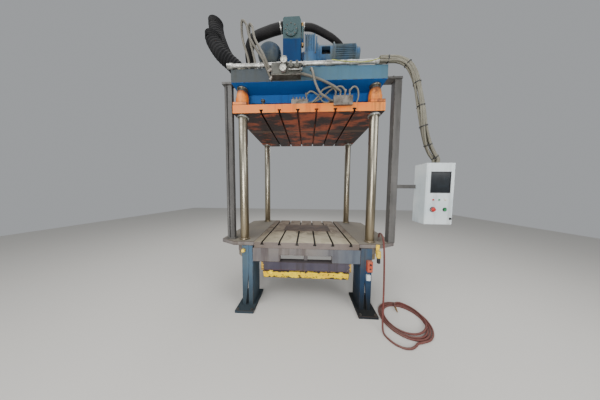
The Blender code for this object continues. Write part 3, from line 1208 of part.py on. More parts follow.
BUTTON_Z = BOX_Z[0] + BUTTON_RISE
STOP_INSET = 0.075
START_INSET = 0.195
STOP_X = BOX_X[0] + STOP_INSET
START_X = BOX_X[0] + START_INSET
STOP_STEM = 0.009
STOP_HEAD = 0.022
STOP_HEAD_HEIGHT = 0.014
STOP_CROWN = 0.015
START_RADIUS = 0.014
START_EDGE = 0.002
BUTTON_HOLE_DEPTH = 0.030
BUTTON_STEM_DEPTH = 0.020
BUTTON_PROUD = 0.010
BUNDLE_LOBES = 7
BUNDLE_CORE = 0.024
BUNDLE_CABLE = 0.012
BUNDLE_LOBE_SPREAD_SHARE = 0.42
BUNDLE_LOBE_STEPS = 2
BUNDLE_SPACING = 0.110
BUNDLE_LIFT = 0.0375
BUNDLE_STEP = 0.006
BUNDLE_SWAY = 0.030
BUNDLE_LEAD = 0.045
BUNDLE_END_INSET = 0.120
BUNDLE_END_X = BOX_X[0] + BUNDLE_END_INSET
BUNDLE_SHARES = ((0.14, 0.0, -0.001), (0.29, 0.5, 0.014), (0.43, 1.0, 0.067), (0.54, 1.0, 0.164),
                 (0.617, 1.0, 0.307), (0.685, 0.9, 0.487), (0.758, 0.6, 0.668),
                 (0.85, 0.2, 0.82), (0.94, 0.0, 0.915))


def build_posts():
    foot = BED_HEIGHT + SEAT_GAP
    top = BEAM_UNDERSIDE + POST_HEAD_DROP
    half = POST_WIDTH / 2
    right = block("post_right", (POST_RIGHT_X - half, POST_Y - half, foot),
                  (POST_RIGHT_X + half, POST_Y + half, top), "post_grey")
    crown_end = CROWN_WIDTH / 2 + SEAT_GAP
    fuse(right, block("post_right_head", (crown_end, POST_Y - half - POST_PLATE_LIP,
                                          top - POST_PLATE),
                      (POST_RIGHT_X + half, POST_Y + half + POST_PLATE_LIP, top + POST_PLATE)))
    fuse(right, block("control_arm", (POST_RIGHT_X, POST_Y - ARM_HEIGHT / 2,
                                      ARM_Z - ARM_HEIGHT / 2),
                      (BOX_X[0] - SEAT_GAP, POST_Y + ARM_HEIGHT / 4, ARM_Z + ARM_HEIGHT / 2)))

    left_half = LEFT_POST_WIDTH / 2
    left = block("post_left", (LEFT_POST_X - left_half, POST_Y - left_half, foot),
                 (LEFT_POST_X + left_half, POST_Y + left_half, top), "post_grey")
    fuse(left, cylinder("left_conduit", LEFT_CONDUIT_RADIUS, foot, top,
                        location=(LEFT_CONDUIT_X, POST_Y, 0), sides=SMALL_SIDES))
    for label, low, high in (("head", top - POST_PLATE, top + POST_PLATE),
                             ("foot", foot, foot + POST_PLATE)):
        reach = -crown_end if label == "head" else LEFT_POST_X + left_half + POST_PLATE_LIP
        fuse(left, block("post_left_" + label,
                         (LEFT_CONDUIT_X - LEFT_CONDUIT_RADIUS - POST_PLATE_LIP,
                          POST_Y - left_half - POST_PLATE_LIP, low),
                         (reach, POST_Y + left_half + POST_PLATE_LIP, high)))


def build_control_box():
    box = block("control_box", (BOX_X[0], BOX_Y[0], BOX_Z[0]), (BOX_X[1], BOX_Y[1], BOX_Z[1]),
                "white_box", BOX_EDGE)
    cut(box, block("screen_recess", (SCREEN_X[0], BOX_Y[0] - OVERRUN, SCREEN_Z[0]),
                   (SCREEN_X[1], BOX_Y[0] + SCREEN_RECESS, SCREEN_Z[1])))
    for name, across, radius in (("stop_hole", STOP_X, STOP_STEM),
                                 ("start_hole", START_X, START_RADIUS)):
        cut(box, cylinder(name, radius + RUNNING_CLEARANCE, -BUTTON_HOLE_DEPTH, OVERRUN,
                          location=(across, BOX_Y[0], BUTTON_Z), rotation=FACING_FRONT,
                          sides=SMALL_SIDES))
    turned("stop_button", [
        (0, BUTTON_PROUD + STOP_HEAD_HEIGHT), (STOP_CROWN, BUTTON_PROUD + STOP_HEAD_HEIGHT),
        (STOP_HEAD, BUTTON_PROUD + STOP_HEAD_HEIGHT / 2), (STOP_HEAD, BUTTON_PROUD),
        (STOP_STEM, BUTTON_PROUD), (STOP_STEM, -BUTTON_STEM_DEPTH), (0, -BUTTON_STEM_DEPTH),
    ], "red_box", (STOP_X, BOX_Y[0], BUTTON_Z), FACING_FRONT, sides=SMALL_SIDES)
    turned("start_button", [
        (0, BUTTON_PROUD), (START_RADIUS - START_EDGE, BUTTON_PROUD),
        (START_RADIUS, BUTTON_PROUD - START_EDGE), (START_RADIUS, -BUTTON_STEM_DEPTH),
        (0, -BUTTON_STEM_DEPTH),
    ], "green_button", (START_X, BOX_Y[0], BUTTON_Z), FACING_FRONT, sides=SMALL_SIDES)


def build_cable_bundle():
    """The grey control cables as one bundle: a lobed section along the route."""
    section = bpy.data.curves.new("bundle_section", "CURVE")
    section.dimensions = "2D"
    ring = []
    for lobe in range(BUNDLE_LOBES):
        angle = lobe * 2 * HALF_TURN / BUNDLE_LOBES
        centre = (BUNDLE_CORE * math.cos(angle), BUNDLE_CORE * math.sin(angle))
        spread = HALF_TURN * BUNDLE_LOBE_SPREAD_SHARE
        ring += arc(centre, BUNDLE_CABLE, angle - spread, angle + spread, BUNDLE_LOBE_STEPS)
    outline = section.splines.new("POLY")
    outline.points.add(len(ring) - 1)
    for point, (across, up) in zip(outline.points, ring):
        point.co = (across, up, 0, 1)
    outline.use_cyclic_u = True
    profile = bpy.data.objects.new("bundle_profile", section)
    profile.hide_render = True
    profile.display_type = "WIRE"
    CUTTERS.objects.link(profile)
    start = (CONDUIT_ENDS[1] + SEAT_GAP, CONDUIT_Y - BUNDLE_STEP, CROWN_TOP + BUNDLE_LIFT)
    end = (BUNDLE_END_X, start[1], BOX_Z[1] + SEAT_GAP)
    reach = (end[0] - start[0], -BUNDLE_SWAY, end[2] - start[2])
    route = led_route(start, (BUNDLE_LEAD, 0, 0), end, (0, 0, BUNDLE_LEAD), reach, BUNDLE_SHARES)
    bundle = tube("cable_bundle", route, BUNDLE_CORE, "grey_hose", BUNDLE_SPACING)
    bundle.data.bevel_mode = "OBJECT"
    bundle.data.bevel_object = profile
    as_mesh(bundle)


# Small fittings on the front of the bed
KNOB_OUTSET = 0.047
KNOB_DROP = 0.100
KNOB_X = -SIDE_FRAME_OUTER - KNOB_OUTSET
KNOB_Z = BED_HEIGHT - KNOB_DROP
KNOB_RADIUS = 0.024
KNOB_WIDTH = 0.028
KNOB_EDGE = 0.005
KNOB_STEM_RADIUS = 0.007
KNOB_STEM_LENGTH = 0.030
KNOB_GAP = 0.002
KNOB_LOBES = 6
KNOB_LOBE_RADIUS = 0.008
SWITCH_BOX_OUTSET = 0.005
SWITCH_BOX_DROP = 0.175
SWITCH_BOX_WIDTH = 0.058
SWITCH_BOX_HEIGHT = 0.125
SWITCH_BOX_DEPTH = 0.045
OUTLET_BOX_OUTSET = 0.007
OUTLET_BOX_DROP = 0.338
OUTLET_BOX_WIDTH = 0.044
OUTLET_BOX_HEIGHT = 0.067
OUTLET_BOX_DEPTH = 0.030
BOX_FILLET = 0.004
REGULATOR_OUTSET = 0.125
REGULATOR_X = SIDE_FRAME_OUTER + REGULATOR_OUTSET
REGULATOR_BODY = 0.023
REGULATOR_BOWL = 0.018
REGULATOR_CAP = 0.020
REGULATOR_DROP = 0.095
REGULATOR_CAP_HEIGHT = 0.035
REGULATOR_BODY_HEIGHT = 0.040
REGULATOR_BOWL_HEIGHT = 0.065
REGULATOR_STANDOFF = 0.032
REGULATOR_BRACKET = 0.008
AIR_OUTLET_OUTSET = 0.120
AIR_OUTLET_SETBACK = 0.125
AIR_OUTLET_X = COLUMN_X + AIR_OUTLET_OUTSET
AIR_OUTLET_Y = FRAME_FRONT + AIR_OUTLET_SETBACK
AIR_OUTLET_RADIUS = 0.014
AIR_OUTLET_HEIGHT = 0.050


def build_small_box(name, outset, drop, size, finish):
    """A small box on the front of the right side frame's gusset."""
    width, depth, height = size
    inner = SIDE_FRAME_OUTER + outset
    top = BED_HEIGHT - drop
    front = FRAME_FRONT - SEAT_GAP
    block(name, (inner, front - depth, top - height), (inner + width, front, top), finish,
          BOX_FILLET)


def build_bed_fittings():
    front = FRAME_FRONT - SEAT_GAP
    knob = turned("valve_knob", [
        (0, KNOB_GAP + KNOB_WIDTH), (KNOB_RADIUS - KNOB_EDGE, KNOB_GAP + KNOB_WIDTH),
        (KNOB_RADIUS, KNOB_GAP + KNOB_WIDTH - KNOB_EDGE), (KNOB_RADIUS, KNOB_GAP),
        (KNOB_STEM_RADIUS, KNOB_GAP), (KNOB_STEM_RADIUS, -KNOB_STEM_LENGTH),
        (0, -KNOB_STEM_LENGTH),
    ], "yellow", (KNOB_X, FRAME_FRONT, KNOB_Z), FACING_FRONT, sides=SMALL_SIDES)
    for index in range(KNOB_LOBES):
        angle = index * 2 * HALF_TURN / KNOB_LOBES
        place = (KNOB_X + KNOB_RADIUS * math.cos(angle), FRAME_FRONT,
                 KNOB_Z + KNOB_RADIUS * math.sin(angle))
        cut(knob, cylinder(f"knob_scallop_{index}", KNOB_LOBE_RADIUS, KNOB_GAP - OVERRUN,
                           KNOB_GAP + KNOB_WIDTH + OVERRUN, location=place,
                           rotation=FACING_FRONT, sides=SMALL_SIDES))
    build_small_box("switch_box", SWITCH_BOX_OUTSET, SWITCH_BOX_DROP,
                    (SWITCH_BOX_WIDTH, SWITCH_BOX_DEPTH, SWITCH_BOX_HEIGHT), "red_box")
    build_small_box("outlet_box", OUTLET_BOX_OUTSET, OUTLET_BOX_DROP,
                    (OUTLET_BOX_WIDTH, OUTLET_BOX_DEPTH, OUTLET_BOX_HEIGHT), "white_box")

    top = BED_HEIGHT - REGULATOR_DROP
    body_low = top - REGULATOR_BODY_HEIGHT
    bowl_low = body_low - REGULATOR_BOWL_HEIGHT
    centre_y = front - REGULATOR_STANDOFF
    regulator = turned("air_regulator", [
        (0, top + REGULATOR_CAP_HEIGHT), (REGULATOR_CAP, top + REGULATOR_CAP_HEIGHT),
        (REGULATOR_CAP, top), (REGULATOR_BODY, top), (REGULATOR_BODY, body_low),
        (REGULATOR_BOWL, body_low), (REGULATOR_BOWL, bowl_low + BOX_FILLET),
        (REGULATOR_BOWL / 2, bowl_low), (0, bowl_low),
    ], "yellow", (REGULATOR_X, centre_y, 0), sides=SMALL_SIDES)
    fuse(regulator, block("regulator_bracket",
                          (REGULATOR_X - REGULATOR_BOWL, front - REGULATOR_BRACKET, body_low),
                          (REGULATOR_X + REGULATOR_BOWL, front, BED_HEIGHT - SEAT_GAP)))
    fuse(regulator, block("regulator_neck",
                          (REGULATOR_X - REGULATOR_BOWL / 2, centre_y, body_low + BOX_FILLET),
                          (REGULATOR_X + REGULATOR_BOWL / 2, front - REGULATOR_BRACKET / 2,
                           top - BOX_FILLET)))


# Air hose: from the outlet on the right wing, down to the floor and into a loose coil
AIR_HOSE_RADIUS = 0.009
AIR_HOSE_ROUTE = [(0.870, -0.500, 0.8503), (0.870, -0.500, 0.878), (0.868, -0.526, 0.902),
                  (0.864, -0.580, 0.898), (0.858, -0.630, 0.845), (0.853, -0.662, 0.740),
                  (0.846, -0.690, 0.580), (0.832, -0.725, 0.390), (0.811, -0.768, 0.220),
                  (0.786, -0.815, 0.085), (0.772, -0.855, 0.020), (0.773, -0.900, 0.0095),
                  (0.812, -0.968, 0.0095), (0.880, -1.014, 0.0095), (0.950, -1.026, 0.0095),
                  (0.992, -1.012, 0.0095), (1.0083, -0.9848, 0.0095), (1.0162, -0.9455, 0.0095)]
COIL_CENTRE = (1.065, -0.700)
COIL_OUTER = 0.255
COIL_INNER = 0.145
COIL_HEIGHT = 0.040
HOSE_END_LENGTH = 0.060
HOSE_END_RADIUS = 0.010
HOSE_END_NOSE = 0.006
HOSE_END_SETBACK = 0.0025


def build_air_hose():
    tube("air_hose", AIR_HOSE_ROUTE, AIR_HOSE_RADIUS, "red_hose", AIR_HOSE_RADIUS * 5)
    ground = SEAT_GAP
    turned("air_hose_coil", [
        (COIL_INNER, ground + COIL_HEIGHT), (COIL_OUTER, ground + COIL_HEIGHT),
        (COIL_OUTER, ground), (COIL_INNER, ground),
    ], "red_hose", (*COIL_CENTRE, 0), ring=True)
    place = (COIL_CENTRE[0], COIL_CENTRE[1] + COIL_INNER - HOSE_END_SETBACK,
             HOSE_END_RADIUS + ground)
    turned("air_hose_fitting", [
        (0, HOSE_END_LENGTH), (HOSE_END_NOSE, HOSE_END_LENGTH),
        (HOSE_END_NOSE, HOSE_END_LENGTH / 2), (HOSE_END_RADIUS, HOSE_END_LENGTH / 2),
        (HOSE_END_RADIUS, 0), (0, 0),
    ], "brass", place, FACING_FRONT, sides=SMALL_SIDES)


build_bed()
build_apron()
build_platen()
build_columns()
build_crown()
build_cylinder()
build_manifolds()
build_valve_block()
build_tank()
build_pump_group()
build_accumulator()
build_pipes()
build_hoses()
build_conduit()
build_posts()
build_control_box()
build_cable_bundle()
build_bed_fittings()
build_air_hose()

# The datum of the press is the middle of its bolster's top face
DATUM.location = (0, 0, -BED_HEIGHT)
bpy.context.view_layer.update()
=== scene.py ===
import math
import bpy
import bmesh
from mathutils import Matrix, Vector


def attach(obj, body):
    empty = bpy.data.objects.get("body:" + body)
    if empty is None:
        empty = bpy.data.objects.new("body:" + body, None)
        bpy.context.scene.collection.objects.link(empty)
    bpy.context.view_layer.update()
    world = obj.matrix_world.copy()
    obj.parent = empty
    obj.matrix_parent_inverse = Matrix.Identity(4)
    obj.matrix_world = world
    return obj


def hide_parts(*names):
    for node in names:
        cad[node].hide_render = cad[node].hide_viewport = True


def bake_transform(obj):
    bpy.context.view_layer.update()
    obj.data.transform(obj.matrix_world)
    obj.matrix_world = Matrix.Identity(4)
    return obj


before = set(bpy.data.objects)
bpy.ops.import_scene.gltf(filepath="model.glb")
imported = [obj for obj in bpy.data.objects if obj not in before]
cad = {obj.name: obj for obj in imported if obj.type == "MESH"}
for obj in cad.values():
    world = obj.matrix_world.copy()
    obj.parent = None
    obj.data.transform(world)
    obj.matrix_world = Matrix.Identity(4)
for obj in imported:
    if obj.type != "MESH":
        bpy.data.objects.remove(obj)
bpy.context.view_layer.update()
scene = bpy.context.scene
floorZ = -0.8          # the tables give heights above the floor; finished pieces are lowered by this
print("frame loaded:", len(cad), "nodes")

# Camera, at the photograph's place
photoView = {"place": (0.008, -2.2555, 0.590), "lens": 8.752, "yaw": 2.743, "pitch": 3.502, "roll": 0.416}


def placeCamera(view):
    yaw, pitch, roll = (math.radians(view[key]) for key in ("yaw", "pitch", "roll"))
    ahead = Vector((-math.sin(yaw) * math.cos(pitch), math.cos(yaw) * math.cos(pitch), -math.sin(pitch)))
    level = Vector((math.cos(yaw), math.sin(yaw), 0))
    above = level.cross(ahead)
    right = level * math.cos(roll) + above * math.sin(roll)
    top = above * math.cos(roll) - level * math.sin(roll)
    data = bpy.data.cameras.new("photoCamera")
    data.lens, data.sensor_width, data.clip_start, data.clip_end = view["lens"], 36, 0.02, 60
    camera = bpy.data.objects.new("photoCamera", data)
    camera.matrix_world = Matrix.Translation(view["place"]) @ Matrix((right, top,
                                                                      -ahead)).transposed().to_4x4()
    scene.collection.objects.link(camera)
    scene.camera = camera


placeCamera(photoView)


# Node graphs: a socket that can stand in an expression, and one method for every other node
class Value:
    def __init__(self, graph, socket):
        self.graph, self.socket = graph, socket

    def maths(self, operation, first, second):
        return self.graph.node("ShaderNodeMath", {"operation": operation}, {0: first, 1: second})

    def __add__(self, other):
        return self.maths("ADD", self, other)

    def __sub__(self, other):
        return self.maths("SUBTRACT", self, other)

    def __rsub__(self, other):
        return self.maths("SUBTRACT", other, self)

    def __mul__(self, other):
        return self.maths("MULTIPLY", self, other)

    def __truediv__(self, other):
        return self.maths("DIVIDE", self, other)

    def through(self, operation):
        # a function of one value, such as its sine
        return self.graph.node("ShaderNodeMath", {"operation": operation}, {0: self})

    __radd__ = __add__
    __rmul__ = __mul__


class Graph:
    def __init__(self, tree):
        self.tree = tree

    def node(self, kind, settings=None, values=None, output=0):
        made = self.tree.nodes.new(kind)
        for key, setting in (settings or {}).items():
            setattr(made, key, setting)
        for key, value in (values or {}).items():
            for entry in value if isinstance(value, list) else [value]:
                if isinstance(entry, Value):
                    self.tree.links.new(entry.socket, made.inputs[key])
                else:
                    made.inputs[key].default_value = entry
        return Value(self, made.outputs[output] if made.outputs else None)


def tint(code):
    # a screen colour such as "c08040" as linear light
    parts = [int(code[at:at + 2], 16) / 255 for at in (0, 2, 4)]
    return tuple(p / 12.92 if p <= 0.04045 else ((p + 0.055) / 1.055) ** 2.4 for p in parts) + (1,)


class Finish(Graph):
    # a material that takes its finish from one of the record's slots
    def __init__(self, name, slot):
        self.material = bpy.data.materials.new(name)
        self.material.use_nodes = True
        super().__init__(self.material.node_tree)
        self.slot = slot
        self.shader = self.tree.nodes["Principled BSDF"]
        self.place = self.node("ShaderNodeTexCoord", output=3)

    def noise(self, scale, detail=4, stretch=(1, 1, 1), shift=0, roughness=0.55, distortion=0):
        away = (shift, shift * 1.7, shift * 0.6)
        where = self.node("ShaderNodeMapping", None, {"Vector": self.place, "Scale": stretch,
                                                      "Location": away})
        return self.node("ShaderNodeTexNoise", None, {"Vector": where, "Scale": scale, "Detail": detail,
                                                      "Roughness": roughness, "Distortion": distortion})

    def mask(self, value, low, high):
        return self.node("ShaderNodeMapRange", {"clamp": True}, {0: value, 1: low, 2: high})

    def blend(self, factor, first, second):
        return self.node("ShaderNodeMix", {"data_type": "RGBA", "clamp_factor": True},
                         {0: factor, 6: first, 7: second}, 2)

    def facing(self, axis="Z"):
        side = self.node("ShaderNodeTexCoord", output=1)
        return self.node("ShaderNodeSeparateXYZ", None, {0: side}, "XYZ".index(axis))

    def along(self, axis):
        return self.node("ShaderNodeSeparateXYZ", None, {0: self.place}, "XYZ".index(axis))

    def across(self):
        return self.along("X").through("ABSOLUTE")

    def wear(self):
        return self.node("ShaderNodeAttribute", {"attribute_name": "wear"}, output=2)

    def close(self, colour, roughness, metallic=0.0, height=None, depth=0.002, strength=0.5, **fixed):
        for key, value in (("Base Color", colour), ("Roughness", roughness), ("Metallic", metallic)):
            socket = self.shader.inputs[key]
            if isinstance(value, Value):
                self.tree.links.new(value.socket, socket)
            else:
                socket.default_value = value
        if height is not None:
            bump = self.node("ShaderNodeBump", None, {"Height": height, "Distance": depth,
                                                      "Strength": strength})
            self.tree.links.new(bump.socket, self.shader.inputs["Normal"])
        for key, value in fixed.items():
            self.shader.inputs[key.replace("_", " ")].default_value = value
        return self


# Paint that has been used: faded patches, runs of grime, dust on top, chips on the edges
paintLooks = {
    "deepBlue": dict(slot="deep_blue_paint", colour="0a4379", faded="17568c", grime="101c26",
        dustTint="5d635f", patch=1.9, runs=(0.52, 0.55), dust=(0.75, 0.1), chip=(0.8, 0.2), under="3c3a36",
        rough=(0.5, 0.2)),
    "dustyBlue": dict(slot="dusty_blue_paint", colour="1c4f78", faded="33525f", grime="1b2123",
        dustTint="5b5e58", patch=3.6, runs=(0.46, 0.65), dust=(1.0, 0.8), chip=(0.78, 0.2), under="4a4740",
        rough=(0.55, 0.25)),
    "orangePaint": dict(slot="orange_paint", colour="d8690e", faded="de8426", grime="4a2615",
        dustTint="7d5a41", patch=5.5, runs=(0.53, 0.6), dust=(0.8, 0.16), chip=(0.7, 0.26), under="40251a",
        rough=(0.4, 0.25)),
    "bedPaint": dict(slot="bed_grey_paint", colour="5f5a5b", faded="756e68", grime="3b2a26",
        dustTint="7b7467", patch=3.1, runs=(0.46, 0.6), dust=(0.85, 0.15), chip=(0.72, 0.26),
        under="3b2d27", rough=(0.52, 0.25)),
    "legPaint": dict(slot="deep_blue_paint", colour="1c4164", faded="38495a", grime="2a2928",
        dustTint="615f58", patch=3.4, runs=(0.46, 0.75), dust=(0.95, 0.3), chip=(0.74, 0.22),
        under="493c35", rough=(0.5, 0.25), gloss=0.2),
    "apronPaint": dict(slot="apron_paint", colour="332e3e", faded="423d49", grime="281c19",
        dustTint="5a534f", patch=4.2, runs=(0.5, 0.65), dust=(0.7, 0.12), chip=(0.69, 0.26), under="35211c",
        rough=(0.5, 0.25)),
    "postPaint": dict(slot="post_paint", colour="474644", faded="5a5856", grime="2a2724", dustTint="605c55",
        patch=3.0, runs=(0.48, 0.55), dust=(0.8, 0.1), chip=(0.77, 0.2), under="3d3530", rough=(0.5, 0.22)),
    "whitePaint": dict(slot="white_paint", colour="bcc6ca", faded="d3d9da", grime="77756d",
        dustTint="99968c", patch=3.5, runs=(0.56, 0.4), dust=(0.5, 0.05), chip=(0.86, 0.18), under="54504a",
        rough=(0.36, 0.2)),
    "yellowPaint": dict(slot="yellow_plastic", colour="e5bb1c", faded="eccb4a", grime="6b5a25",
        dustTint="8f8459", patch=6.0, runs=(0.52, 0.45), dust=(0.6, 0.08), chip=(0.8, 0.15), under="3a3122",
        rough=(0.42, 0.22)),
    "redPaint": dict(slot="red_plastic", colour="a5371f", faded="b55a3b", grime="3b2019", dustTint="7f6558",
        patch=8.0, runs=(0.52, 0.5), dust=(0.6, 0.1), chip=(0.78, 0.18), under="4d4540", rough=(0.4, 0.22)),
}


def usedPaint(name, extra=None):
    look = paintLooks[name]
    skin = Finish(name, look["slot"])
    broad = skin.noise(look["patch"], 5, shift=1.3, roughness=0.62)
    fine = skin.noise(34, 6, shift=4.1, roughness=0.68)
    runs = skin.noise(1.0, 5, stretch=(15, 15, 1.2), shift=2.2, roughness=0.62)
    top = skin.mask(skin.facing(), 0.25, 0.92)
    colour = skin.blend(skin.mask(broad, 0.36, 0.66), tint(look["colour"]), tint(look["faded"]))
    low, share = look["runs"]
    grime = skin.mask(runs, low, low + 0.2) * share * (1 - top)
    colour = skin.blend(grime, colour, tint(look["grime"]))
    onTop, everywhere = look["dust"]
    dust = top * (skin.mask(fine + broad, 0.55, 1.15) * 0.5 + 0.5) * onTop + skin.mask(broad, 0.42,
                                                                                       0.72) * everywhere
    colour = skin.blend(dust, colour, tint(look["dustTint"]))
    if extra:
        colour = extra(skin, colour, broad, fine)
    start, edge = look["chip"]
    bare = skin.mask(fine * 0.75 + broad * 0.25 + skin.wear() * edge, start * 0.92, start * 0.92 + 0.025)
    colour = skin.blend(bare, colour, tint(look["under"]))
    base, spread = look["rough"]
    rough = fine * spread + dust * 0.22 + base
    return skin.close(colour, rough, bare * 0.35, fine * 0.6 - bare * 0.5 + runs * 0.3, 0.0015, 0.35,
                      Specular_IOR_Level=look.get("gloss", 0.5))


def beamWeather(skin, colour, broad, fine):
    # the beam is buried in grey dust at its left and washed teal at its right
    left = 1 - skin.mask(skin.along("X") + broad * 0.5, 0.05, 0.65)
    colour = skin.blend(left * 0.86, colour, tint("3b3c37"))
    colour = skin.blend((1 - left) * 0.70, colour, tint("476a79"))
    under = skin.mask(skin.facing(), -0.5, -0.8)
    return skin.blend(under, colour, tint("0d57a0"))


def tankWeather(skin, colour, broad, fine):
    # thick dust has settled on the upper part, with a ragged lower edge
    high = skin.mask(skin.along("Z") + broad * 0.05 + fine * 0.03, 2.470, 2.488)
    return skin.blend(high * 0.88, colour, tint("415250"))


def platenShadeAndSeams(skin, colour, broad, fine):
    # painted shade: the underside is painted dark brown, in patches that turn more orange towards the
    # middle
    under = skin.mask(skin.facing(), -0.4, -0.8)
    middle = 1 - skin.mask(skin.across(), 0.15, 0.55)
    patches = skin.mask(skin.noise(4.0, 6, (0.8, 1.8, 1), 7.7, 0.66) + middle * 0.09, 0.52, 0.64)
    # painted shade on the downward faces, dark brown with orange-brown patches
    shadedUnderside = skin.blend(patches, tint("2b1a17"), tint("9c4a28"))
    offSeam = (skin.along("Y") + 0.085).through("ABSOLUTE")
    shadedUnderside = skin.blend(skin.mask(offSeam, 0.034, 0.016) * 0.7, shadedUnderside, tint("8a6a52"))
    shadedUnderside = skin.blend(skin.mask(offSeam, 0.012, 0.008), shadedUnderside, tint("120c0a"))
    colour = skin.blend(under, colour, shadedUnderside)
    # painted shade: near black on the surfaces set back behind the front face, in a band near its bottom
    # edge, inside the slots
    slots = skin.mask(skin.along("Z"), 1.4865, 1.4845) * skin.mask(skin.along("Z"), 1.4505, 1.4515)
    platenSlotShade = slots * skin.mask(skin.along("Y"), -0.6088, -0.606)
    return skin.blend(platenSlotShade * (1 - under), colour, tint("1c1310"))


def bushingRust(skin, colour, broad, fine):
    # rust and burnt oil in patches, darkest round the top
    patches = skin.mask(skin.noise(9, 6, (1, 1, 0.8), 5.5, 0.68), 0.50, 0.60)
    colour = skin.blend(patches * 0.8, colour, tint("5a2c18"))
    return skin.blend(skin.mask(skin.along("Z") + broad * 0.05, 1.70, 1.745) * 0.85, colour, tint("3a2b22"))


def apronWeather(skin, colour, broad, fine):
    # rust along the lower edge and a flash of yellow at each corner
    low = 1 - skin.mask(skin.along("Z") + fine * 0.03, -0.328, -0.300)
    colour = skin.blend(low * 0.8, colour, tint("4a2418"))
    side = skin.mask(skin.across() + fine * 0.16, 0.578, 0.588)
    return skin.blend(side * 0.8, colour, tint("c49a1c"))


def bedWeather(skin, colour, broad, fine):
    # an older coat of blue shows through towards the right end
    right = skin.mask(skin.along("X") + broad * 0.3, 0.20, 0.85)
    return skin.blend(right * 0.60, colour, tint("35556c"))


def legShadeAndDust(skin, colour, broad, fine):
    # painted shade darkens the lower part of the legs, most at the floor, and dust has paled the left leg
    # painted shade: near black at the floor, fading out partway up the legs
    low = 1 - skin.mask(skin.along("Z") + broad * 0.25, -0.60, -0.15)
    colour = skin.blend(low * 0.92, colour, tint("181b1d"))
    left = (1 - skin.mask(skin.along("X"), -0.1, 0.1)) * (1 - low * 0.6)
    return skin.blend(left * 0.50, colour, tint("58707e"))


# Bare metal, oiled or dusty
metalLooks = {
    "columnSteel": dict(slot="polished_steel", colour="a29d8d", second="7d776a", stain="5f4a30",
        stainAt=(0.54, 0.5), rough=(0.2, 0.22), metal=0.92, stretch=(9, 9, 0.7), scale=1.6),
    "bolsterSteel": dict(slot="machined_steel", colour="998b72", second="756957", stain="3d3127",
        stainAt=(0.49, 0.75), rough=(0.42, 0.3), metal=0.3, scale=3.3),
    "darkSteel": dict(slot="dark_steel", colour="4d4b48", second="33312f", stain="201b18",
        stainAt=(0.5, 0.6), rough=(0.4, 0.3), metal=0.6, scale=9.0),
    "blockSteel": dict(slot="dark_steel", colour="8b847b", second="5f5850", stain="2c2420",
        stainAt=(0.5, 0.7), rough=(0.36, 0.3), metal=0.7, scale=11.0),
    "galvanised": dict(slot="galvanised_steel", colour="c2c2bd", second="8f8f89", stain="4c4942",
        stainAt=(0.53, 0.75), rough=(0.3, 0.28), metal=0.8, scale=14.0),
    "brownPlate": dict(slot="dark_steel", colour="58463a", second="3a2c24", stain="7c6350",
        stainAt=(0.55, 0.6), rough=(0.55, 0.25), metal=0.3, scale=6.0),
    "valveSteel": dict(slot="dark_steel", colour="55564f", second="3c3a36", stain="26201c",
        stainAt=(0.5, 0.6), rough=(0.4, 0.3), metal=0.4, scale=9.0),
    "brass": dict(slot="brass", colour="b98f45", second="8d6a30", stain="4b3719", stainAt=(0.56, 0.55),
        rough=(0.3, 0.25), metal=0.95, scale=20.0),
    "boltSteel": dict(slot="dark_steel", colour="6d6a65", second="474441", stain="4a3022",
        stainAt=(0.52, 0.65), rough=(0.38, 0.3), metal=0.75, scale=24.0),
}


def bareMetal(name, extra=None):
    look = metalLooks[name]
    skin = Finish(name, look["slot"])
    stretch = look.get("stretch", (1, 1, 1))
    broad = skin.noise(look["scale"], 5, stretch, 0.9, 0.6)
    fine = skin.noise(60, 5, stretch, 3.7, 0.65)
    blots = skin.noise(look["scale"] * 1.9, 6, (1, 1, 1), 6.1, 0.68, 0.6)
    colour = skin.blend(skin.mask(broad, 0.38, 0.64), tint(look["colour"]), tint(look["second"]))
    low, share = look["stainAt"]
    stain = skin.mask(blots, low, low + 0.13) * share
    colour = skin.blend(stain, colour, tint(look["stain"]))
    if extra:
        colour = extra(skin, colour, broad, fine)
    bright = skin.wear() * skin.mask(fine, 0.35, 0.6)
    colour = skin.blend(bright * 0.45, colour, tint("b5b0a6"))
    base, spread = look["rough"]
    rough = fine * spread + stain * 0.3 + base
    return skin.close(colour, rough, (1 - stain * 0.6) * look["metal"], fine * 0.5 + blots * 0.4, 0.0012,
                      0.3)


def columnOil(skin, colour, broad, fine):
    # old oil has browned the lower half of each column
    low = 1 - skin.mask(skin.along("Z") + broad * 0.35, 0.25, 0.95)
    return skin.blend(low * 0.45, colour, tint("8f7a55"))


def bolsterStainsAndShade(skin, colour, broad, fine):
    # painted shade dark in the slots, brown at the back, pale and rubbed near the front
    # painted shade: surfaces more than a few millimetres below the top face, other than the front face, are
    # darkened for the insides of the slots
    bolsterSlotShade = 1 - skin.mask(skin.along("Z"), -0.006, -0.003)
    back = skin.mask(skin.along("Y") + broad * 0.6, 0.05, 0.55)
    colour = skin.blend(back * 0.6, colour, tint("6b5645"))
    front = 1 - skin.mask(skin.facing("Y"), -0.9, -0.5)
    colour = skin.blend(front * 0.9, colour, tint("6f6561"))
    bolsterSlotShade = bolsterSlotShade * (1 - front)
    rubbed = (1 - skin.mask(skin.along("Y"), -0.60, -0.12)) * (1 - bolsterSlotShade) * (1 - front)
    colour = skin.blend(rubbed * 0.60, colour, tint("d0c6a8"))
    sides = skin.mask(skin.across() + broad * 0.25, 0.50, 0.72) * (1 - bolsterSlotShade)
    colour = skin.blend(sides * 0.55, colour, tint("5a4c40"))
    return skin.blend(bolsterSlotShade, colour, tint("221a15"))


